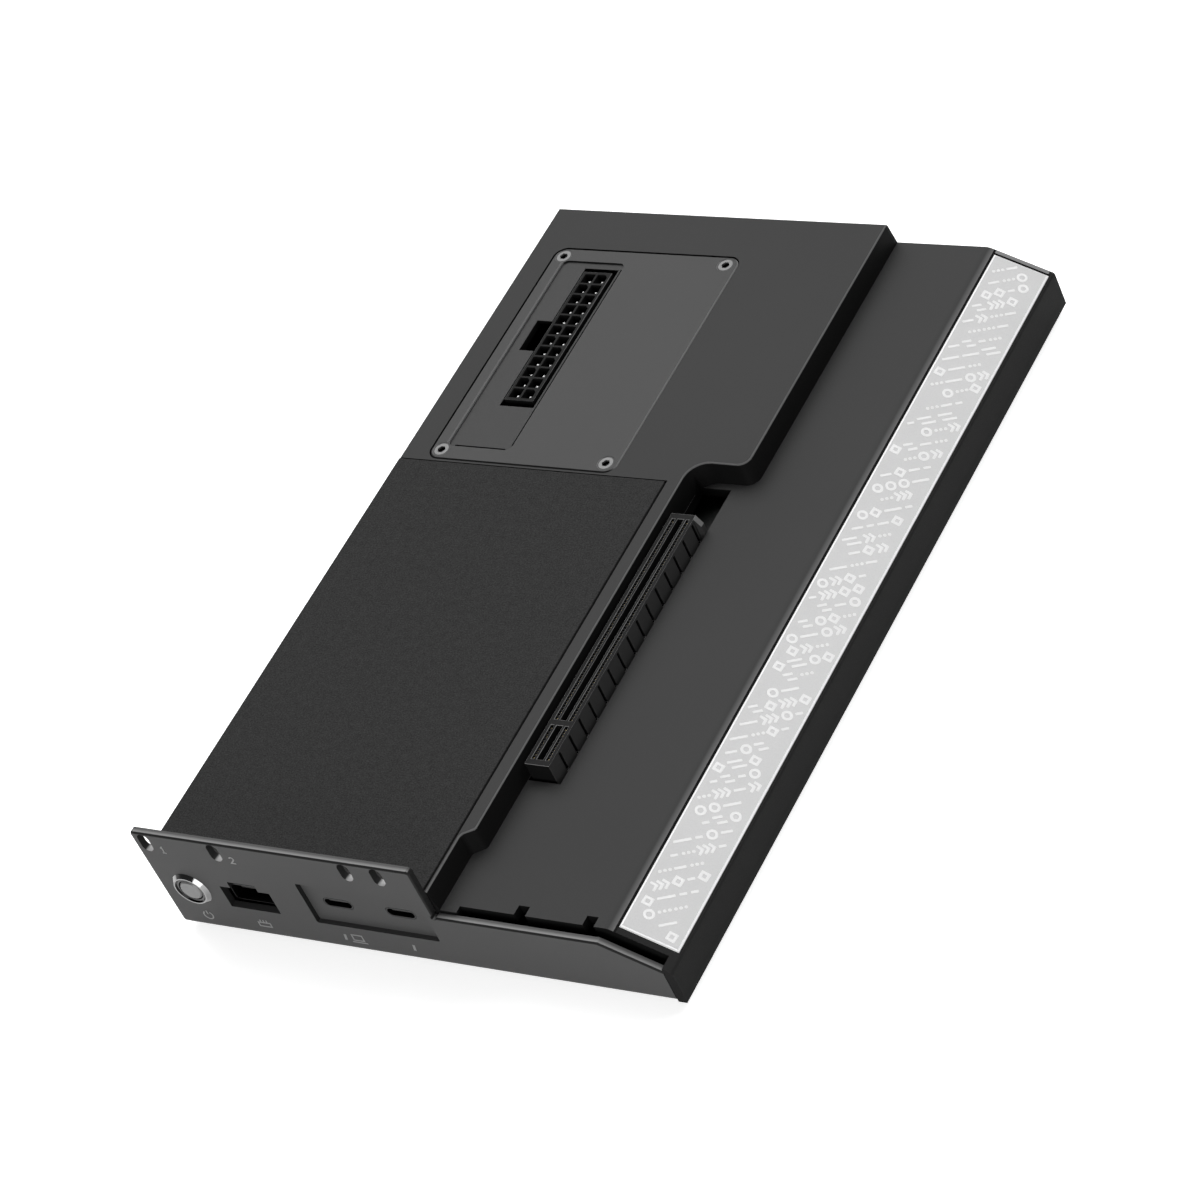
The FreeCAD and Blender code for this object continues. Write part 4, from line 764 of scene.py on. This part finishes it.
printLook = {
    "dark": grey(0.96),
    "light": grey(0.99),
    # painted glow, lifting the print brighter than the strip
    "paintedGlow": 0.20,
    "grain": 0.3,
    "patch": 10.0,
    "depth": 0.002,
    "roughness": (0.4, 0.5),
}
markLook = {
    "dark": grey(0.34),
    "light": grey(0.42),
    "grain": 0.2,
    "patch": 5.0,
    "depth": 0.001,
    "roughness": (0.5, 0.6),
}

finishes = {
    "housing": housingFinish(),
    "panel": panelFinish(),
    "plate": plateFinish(),
    "bezel": bezelFinish(),
    "connector": connectorFinish("finish_connector", "edge")[0],
    "card_slot": cardSlotFinish(),
    "power_header": headerFinish(),
    "screw_head": headFinish(),
    "mat": matFinish(),
    "diffuser": diffuserFinish(),
}
plainFinishes = {
    "cover": coverLook,
    "pin": pinLook,
    "screw": steelLook,
    "shell": shellLook,
    "port_tongue": tongueLook,
    "button_cap": capLook,
    "button_dark": buttonDarkLook,
    "contact": contactLook,
    "board": boardLook,
    "lamp_board": lampBoardLook,
    "lamp": lampLook,
    "heatsink": heatsinkLook,
    "chip": chipLook,
    "can": canLook,
    "foot": footLook,
    "print": printLook,
    "mark": markLook,
}
for finishName, look in plainFinishes.items():
    finishes[finishName] = grainedFinish("finish_" + finishName, look)[0]
finishOf = {part["node"]: part["material_slot"] for part in frame["record"]["subparts"]}
finishOf.update({nodeName: "port_tongue" for nodeName in nodes if "_insulator" in nodeName})
finishOf["plate_screws"] = "screw_head"
finishOf["graphics_slot"] = "card_slot"
finishOf["power_header"] = "power_header"
for nodeName, node in nodes.items():
    node.data.materials.clear()
    node.data.materials.append(finishes[finishOf[nodeName]])
print("finishes:", len(finishes))


# Broken edges: a small bevel on the hard corners of the solid pieces

edgeBreaks = {
    "psu_mat": 0.2,
    "graphics_slot": 0.18,
    "power_header": 0.18,
    "link_port_shell": 0.08,
    "link_port_insulator": 0.08,
    "controller_heatsink": 0.1,
    "controller_chip": 0.1,
}
breakRules = {
    "weld": 0.002,
    "flatAngle": 0.6,
    "hardAngle": 32.0,
    "segments": 2,
}


def breakEdges(node, width):
    weld = node.modifiers.new("weld", "WELD")
    weld.merge_threshold = breakRules["weld"] * mm
    flat = node.modifiers.new("flat", "DECIMATE")
    flat.decimate_type = "DISSOLVE"
    flat.angle_limit = math.radians(breakRules["flatAngle"])
    bevel = node.modifiers.new("edge", "BEVEL")
    bevel.width = width * mm
    bevel.segments = breakRules["segments"]
    bevel.limit_method = "ANGLE"
    bevel.angle_limit = math.radians(breakRules["hardAngle"])
    bevel.use_clamp_overlap = False
    bevel.harden_normals = True


for nodeName, width in edgeBreaks.items():
    breakEdges(nodes[nodeName], width)
print("edges broken:", len(edgeBreaks))


# Drawn shapes: closed solids from ribbons, outlines and blocks

mitreLimit = 0.35  # keeps the sharp corners of a ribbon short


def facePlace(origin, across, along):
    out = across.cross(along)
    turn = Matrix((across, along, out)).transposed().to_4x4()
    return Matrix.Translation(origin) @ turn @ Matrix.Scale(mm, 4)


def addRibbon(shape, place, points, width, height, closed=False):
    spots = [Vector(point) for point in points]
    last = len(spots) - 1
    rings = []
    for index, spot in enumerate(spots):
        before = spots[index - 1] if closed or index > 0 else None
        after = spots[(index + 1) % len(spots)] if closed or index < last else None
        into = (spot - before).normalized() if before is not None else (after - spot).normalized()
        away = (after - spot).normalized() if after is not None else into
        side = Vector((-(into.y + away.y), into.x + away.x)).normalized()
        reach = width / 2 / max(mitreLimit, side.dot(Vector((-into.y, into.x))))
        corners = [(spot + side * reach, 0), (spot - side * reach, 0)]
        corners += [(spot - side * reach, height), (spot + side * reach, height)]
        rings.append([shape.verts.new(place @ Vector((*corner, level))) for corner, level in corners])
    pairs = list(zip(rings, rings[1:]))
    if closed:
        pairs.append((rings[-1], rings[0]))
    else:
        shape.faces.new(rings[0])
        shape.faces.new(reversed(rings[-1]))
    for first, second in pairs:
        for corner in range(4):
            following = (corner + 1) % 4
            shape.faces.new((first[corner], second[corner], second[following], first[following]))


def loft(shape, rings):
    shape.faces.new(reversed(rings[0]))
    shape.faces.new(rings[-1])
    for first, second in zip(rings, rings[1:]):
        for corner in range(len(first)):
            following = (corner + 1) % len(first)
            shape.faces.new((first[corner], first[following], second[following], second[corner]))


def addPrism(shape, place, outline, height):
    spots = [[place @ Vector((x, y, level)) for x, y in outline] for level in (0, height)]
    loft(shape, [[shape.verts.new(spot) for spot in ring] for ring in spots])


def roundOutline(centre, radius, count, start=0.0, sweep=360.0, whole=True):
    steps = count if whole else count + 1
    angles = [math.radians(start + sweep * step / count) for step in range(steps)]
    x, y = centre
    return [(x + radius * math.cos(angle), y + radius * math.sin(angle)) for angle in angles]


def addBlock(shape, low, high):
    corners = [(low[0], low[1]), (high[0], low[1]), (high[0], high[1]), (low[0], high[1])]
    place = Matrix.Translation((0, 0, low[2]))
    addPrism(shape, place, corners, high[2] - low[2])


def addPiece(name, shape, finish, body=dock):
    bmesh.ops.recalc_face_normals(shape, faces=shape.faces[:])
    mesh = bpy.data.meshes.new(name)
    shape.to_mesh(mesh)
    shape.free()
    mesh.materials.append(finishes[finish])
    piece = bpy.data.objects.new(name, mesh)
    bpy.context.scene.collection.objects.link(piece)
    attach(piece, body)


# Light strip print: slanted rows of dashes, chevrons, rings, diamonds and dots

stripPrint = {
    "seed": 11,
    "rowPitch": 4.9,
    "slant": 40.0,
    "margin": 0.9,
    "scale": 1.15,
    "stroke": 0.62,
    "proud": 0.03,
    "gap": 1.1,
    "leadIn": 2.0,
    "sameLevel": 0.01,
}


# motifs are points along and across a row, before scaling

def dashMotif(draw):
    draw.line([(0, 0), (draw.pick((1.6, 2.6, 4.0)), 0)])


def twinMotif(draw):
    length = draw.pick((2.2, 3.4))
    draw.line([(0, 0.75), (length, 0.75)])
    draw.line([(0.7, -0.75), (length + 0.7, -0.75)])


def chevronMotif(draw):
    for step in range(draw.pick((2, 3))):
        shift = step * 1.35
        draw.line([(shift, -1.15), (shift + 1.0, 0), (shift, 1.15)])


def ringMotif(draw):
    draw.line(roundOutline((1.2, 0), 1.0, 14), closed=True)


def diamondMotif(draw):
    draw.line([(0, 0), (1.15, -1.15), (2.3, 0), (1.15, 1.15)], closed=True)


def dotsMotif(draw):
    for step in range(3):
        draw.dot((0.35 + step * 1.15, 0), 0.36)


class StripRow:
    # draws motifs one after another along a slanted row, and keeps them inside the margins
    def __init__(self, shape, place, start, direction, bounds, chance):
        self.shape = shape
        self.place = place
        self.start = Vector(start)
        self.along = Vector(direction)
        self.over = Vector((-direction[1], direction[0]))
        self.bounds = bounds
        self.chance = chance
        self.spent = 0.0
        self.pending = []

    def pick(self, choices):
        return self.chance.choice(choices)

    def spot(self, point):
        x, y = [value * stripPrint["scale"] for value in point]
        return self.start + self.along * (self.spent + x) + self.over * y

    def line(self, points, closed=False):
        self.pending.append((points, closed, None))

    def dot(self, centre, radius):
        self.pending.append(([centre], False, radius))

    def draw(self, motif):
        motif(self)
        reach = max(point[0] for points, closed, radius in self.pending for point in points)
        spots = [self.spot(point) for points, closed, radius in self.pending for point in points]
        (left, low), (right, high) = self.bounds
        fits = all(left < spot.x < right and low < spot.y < high for spot in spots)
        for points, closed, radius in self.pending if fits else []:
            if radius:
                outline = roundOutline(self.spot(points[0]), radius * stripPrint["scale"], 12)
                addPrism(self.shape, self.place, outline, stripPrint["proud"])
            else:
                spots = [self.spot(point) for point in points]
                stroke, proud = stripPrint["stroke"], stripPrint["proud"]
                addRibbon(self.shape, self.place, spots, stroke, proud, closed)
        self.pending = []
        self.spent += reach * stripPrint["scale"] + stripPrint["gap"]


def printStrip():
    out = stripNormal()
    along = Vector((0, 1, 0))
    across = along.cross(out)
    corners = [vertex.co for vertex in nodes["light_strip"].data.vertices]
    face = max(corner.dot(out) for corner in corners)
    nearly = stripPrint["sameLevel"] * mm
    onFace = [corner for corner in corners if abs(corner.dot(out) - face) < nearly]
    width = [corner.dot(across) for corner in onFace]
    length = [corner.y for corner in onFace]
    origin = across * min(width) + along * min(length) + out * face
    place = facePlace(origin, across, along)
    stripWidth = (max(width) - min(width)) / mm
    stripLength = (max(length) - min(length)) / mm

    chance = random.Random(stripPrint["seed"])
    slant = math.radians(stripPrint["slant"])
    direction = (math.cos(slant), math.sin(slant))
    margin = stripPrint["margin"]
    bounds = ((margin, margin), (stripWidth - margin, stripLength - margin))
    rowLength = stripWidth / math.cos(slant)
    rise = stripWidth * math.tan(slant)
    motifs = [dashMotif, twinMotif, chevronMotif, ringMotif, diamondMotif, dotsMotif, dashMotif]
    shape = bmesh.new()
    for row in range(int((stripLength + rise) / stripPrint["rowPitch"])):
        begin = (0, row * stripPrint["rowPitch"] - rise)
        line = StripRow(shape, place, begin, direction, bounds, chance)
        line.spent = chance.uniform(margin, margin + stripPrint["leadIn"])
        while line.spent < rowLength:
            line.draw(chance.choice(motifs))
    addPiece("strip_print", shape, "print")


printStrip()
print("strip print done")


# Panel marks: plain numerals at the supply slots, small pictures and ticks under the ports

panelMarks = {
    "stroke": 0.42,
    "proud": 0.03,
    "baseline": 4.9,
    "powerRadius": 1.45,
    "numeralHeight": 2.3,
    "numeralRise": 30.6,
    "numeralPlaces": (8.4, 30.9),
    "displayShift": 1.4,
    "tickHeight": 2.3,
    "tickLean": 0.2,
    "tickStroke": 0.75,
    "tickShifts": {"usb_c_shell_left": -2.6, "usb_c_shell_right": -0.6},
}


# signs are points on the panel's face, round a middle

def drawNumeral(line, number, x, z, height):
    half = height / 2
    if number == 1:
        line([(x - 0.5, z + half * 0.55), (x, z + half), (x, z - half)])
        line([(x - 0.6, z - half), (x + 0.6, z - half)])
    else:
        bow = roundOutline((x, z + half * 0.45), half * 0.55, 10, 160, -215, whole=False)
        line(bow + [(x - half * 0.6, z - half), (x + half * 0.65, z - half)])


def drawPower(line, x, z):
    radius = panelMarks["powerRadius"]
    line(roundOutline((x, z), radius, 22, 125, 290, whole=False))
    line([(x, z + radius * 0.25), (x, z + radius * 1.25)])


def drawLink(line, x, z):
    line([(x - 1.9, z - 1.0), (x + 1.9, z - 1.0), (x + 1.9, z + 0.5), (x - 1.9, z + 0.5)], True)
    for shift in (-1.0, 0.0, 1.0):
        line([(x + shift, z + 0.7), (x + shift, z + 1.6)])


def drawDisplay(line, x, z):
    line([(x - 1.6, z - 0.7), (x + 1.6, z - 0.7), (x + 1.6, z + 1.4), (x - 1.6, z + 1.4)], True)
    line([(x - 2.4, z - 1.5), (x + 2.4, z - 1.5)])


def drawTick(line, x, z):
    half, lean = panelMarks["tickHeight"] / 2, panelMarks["tickLean"]
    line([(x + lean, z + half), (x - lean, z - half)], width=panelMarks["tickStroke"])


def markPanel():
    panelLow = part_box("port_panel")[0]
    place = facePlace(panelLow, Vector((1, 0, 0)), Vector((0, 0, 1)))
    shape = bmesh.new()

    def line(points, closed=False, width=panelMarks["stroke"]):
        addRibbon(shape, place, points, width, panelMarks["proud"], closed)

    def middleOf(nodeName):
        low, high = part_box(nodeName)
        return ((low.x + high.x) / 2 - panelLow.x) / mm

    for number, x in enumerate(panelMarks["numeralPlaces"], start=1):
        drawNumeral(line, number, x, panelMarks["numeralRise"], panelMarks["numeralHeight"])
    drawPower(line, middleOf("button_cap"), panelMarks["baseline"])
    drawLink(line, middleOf("link_port_shell"), panelMarks["baseline"])
    display = middleOf("usb_c_shell_left") + panelMarks["displayShift"]
    drawDisplay(line, display, panelMarks["baseline"])
    for portName, shift in panelMarks["tickShifts"].items():
        drawTick(line, middleOf(portName) + shift, panelMarks["baseline"])
    addPiece("panel_marks", shape, "mark")


markPanel()
print("panel marks done")


# Card slot: thin walls that part the contacts from each other

slotWalls = {
    "channel": 0.9,
    "clearance": 0.06,
    "belowRim": 0.3,
    "widestGap": 0.8,
    "play": 0.01,
}


def wallSlot():
    contacts = nodes["slot_contacts"].data
    edges = sorted({round(vertex.co.y / mm, 3) for vertex in contacts.vertices})
    sides = sorted({round(vertex.co.x / mm, 3) for vertex in contacts.vertices})
    rows = [(sides[0] + sides[1]) / 2, (sides[-2] + sides[-1]) / 2]
    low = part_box("slot_contacts")[0].z / mm
    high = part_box("graphics_slot")[1].z / mm - slotWalls["belowRim"]
    half = slotWalls["channel"] / 2 - slotWalls["play"]
    shape = bmesh.new()
    for rear, front in zip(edges[1::2], edges[2::2]):
        if front - rear > slotWalls["widestGap"]:
            continue  # the key of the slot
        for middle in rows:
            first = Vector((middle - half, rear + slotWalls["clearance"], low)) * mm
            second = Vector((middle + half, front - slotWalls["clearance"], high)) * mm
            addBlock(shape, first, second)
    addPiece("slot_walls", shape, "connector")


wallSlot()
print("slot walls done")


# Header pins: blunt tips, so that a pin shows in each cell

pinTips = {
    "rise": 0.55,
    "shoulder": 0.4,
    "blunt": 0.45,
    "reach": 1.5,
    "overlap": 0.05,
    "sameLevel": 0.01,
}


def tipPins():
    corners = [vertex.co / mm for vertex in nodes["power_header_pins"].data.vertices]
    top = max(corner.z for corner in corners)
    heads = []
    for corner in [corner for corner in corners if top - corner.z < pinTips["sameLevel"]]:
        near = [head for head in heads if (head[0] - corner).length < pinTips["reach"]]
        if near:
            near[0].append(corner)
        else:
            heads.append([corner])
    shape = bmesh.new()
    for head in heads:
        acrossX = [corner.x for corner in head]
        acrossY = [corner.y for corner in head]
        middle = Vector(((min(acrossX) + max(acrossX)) / 2, (min(acrossY) + max(acrossY)) / 2, 0))
        half = (max(acrossX) - min(acrossX)) / 2
        levels = (
            (half, top - pinTips["overlap"]),
            (half, top + pinTips["rise"] - pinTips["shoulder"]),
            (half * pinTips["blunt"], top + pinTips["rise"]),
        )
        rings = []
        for width, height in levels:
            spots = [middle + Vector((x * width, y * width, height)) for x, y in squareCorners]
            rings.append([shape.verts.new(spot * mm) for spot in spots])
        loft(shape, rings)
    addPiece("pin_tips", shape, "pin")


tipPins()
print("pin tips done")


# Floor, light and camera: the floor and the lights are in metres

floorLook = {"size": 9.0, "seen": grey(0.99), "bounce": grey(0.40), "lift": 0.74}


def seenRays(tree):
    rays = addNode(tree, "LightPath")
    camera, gloss = rays.outputs["Is Camera Ray"], rays.outputs["Is Glossy Ray"]
    glassy = combine(tree, gloss, rays.outputs["Is Transmission Ray"], "MAXIMUM")
    return combine(tree, camera, glassy, "MAXIMUM")


def addFloor():
    shape = bmesh.new()
    half = floorLook["size"] / 2
    shape.faces.new([shape.verts.new((x * half, y * half, 0)) for x, y in squareCorners])
    mesh = bpy.data.meshes.new("floor")
    shape.to_mesh(mesh)
    shape.free()
    floor = bpy.data.objects.new("floor", mesh)
    bpy.context.scene.collection.objects.link(floor)

    material, tree, shader = startMaterial("floor_paper")
    seen = seenRays(tree)
    paint(tree, shader, tones(tree, seen, floorLook["bounce"], floorLook["seen"]))
    lift = combine(tree, seen, floorLook["lift"], "MULTIPLY")
    tree.links.new(lift, shader.inputs["Emission Strength"])
    setShader(shader, Roughness=1.0, Specular_IOR_Level=0.0, Emission_Color=(1, 1, 1, 1))
    mesh.materials.append(material)


softboxes = {
    "key": {"azimuth": -140.0, "elevation": 52.0, "distance": 2.0, "size": (1.6, 1.6), "power": 25.0},
    "rim": {"azimuth": 133.0, "elevation": 42.0, "distance": 1.7, "size": (0.9, 0.9), "power": 5.0},
    "front": {"azimuth": 20.0, "elevation": 12.0, "distance": 1.1, "size": (0.62, 0.56), "power": 4.8},
}
skyLook = {"from": (-0.6, 0.8, 0.0), "bright": 0.74, "dim": 0.05, "fade": (0.75, 0.0)}


def aim(azimuth, elevation):
    # azimuth 0 stands in front of the panel, and 90 at the right-hand side
    turn, lift = math.radians(azimuth), math.radians(elevation)
    level = math.cos(lift)
    return Vector((math.sin(turn) * level, -math.cos(turn) * level, math.sin(lift)))


def addLights():
    for name, look in softboxes.items():
        lamp = bpy.data.lights.new(name, "AREA")
        lamp.shape = "RECTANGLE"
        lamp.size, lamp.size_y = look["size"]
        lamp.energy = look["power"]
        holder = bpy.data.objects.new(name, lamp)
        direction = aim(look["azimuth"], look["elevation"])
        holder.location = direction * look["distance"]
        holder.rotation_euler = direction.to_track_quat("Z", "Y").to_euler()
        holder.visible_camera = False
        bpy.context.scene.collection.objects.link(holder)

    world = bpy.data.worlds.new("studio")
    world.use_nodes = True
    tree = world.node_tree
    sky = tree.nodes["Background"]
    place = addNode(tree, "TexCoord")
    side = vectorStep(tree, place.outputs["Generated"], "DOT_PRODUCT", skyLook["from"])
    level = span(tree, side, skyLook["bright"], skyLook["dim"], *skyLook["fade"])
    rays = addNode(tree, "LightPath")
    strength = combine(tree, level, rays.outputs["Is Camera Ray"], "MAXIMUM")
    tree.links.new(strength, sky.inputs["Strength"])
    sky.inputs["Color"].default_value = (1, 1, 1, 1)
    bpy.context.scene.world = world


cameraView = {
    "target": (3.6, -13.8, 20.0),
    "azimuth": 45.19,
    "elevation": 39.93,
    "roll": -26.86,
    "distance": 1181.8,
    "lens": 134.57,
    "sensor": 36.0,
}


def addCamera():
    lens = bpy.data.cameras.new("camera")
    lens.sensor_fit = "HORIZONTAL"
    lens.sensor_width = cameraView["sensor"]
    lens.lens = cameraView["lens"]
    camera = bpy.data.objects.new("camera", lens)
    direction = aim(cameraView["azimuth"], cameraView["elevation"])
    camera.location = (Vector(cameraView["target"]) + direction * cameraView["distance"]) * mm
    roll = Quaternion((0, 0, 1), math.radians(cameraView["roll"]))
    camera.rotation_mode = "QUATERNION"
    camera.rotation_quaternion = (-direction).to_track_quat("-Z", "Y") @ roll
    bpy.context.scene.collection.objects.link(camera)
    bpy.context.scene.camera = camera


addFloor()
addLights()
addCamera()
bpy.context.scene.view_settings.view_transform = "Standard"
print("studio ready")
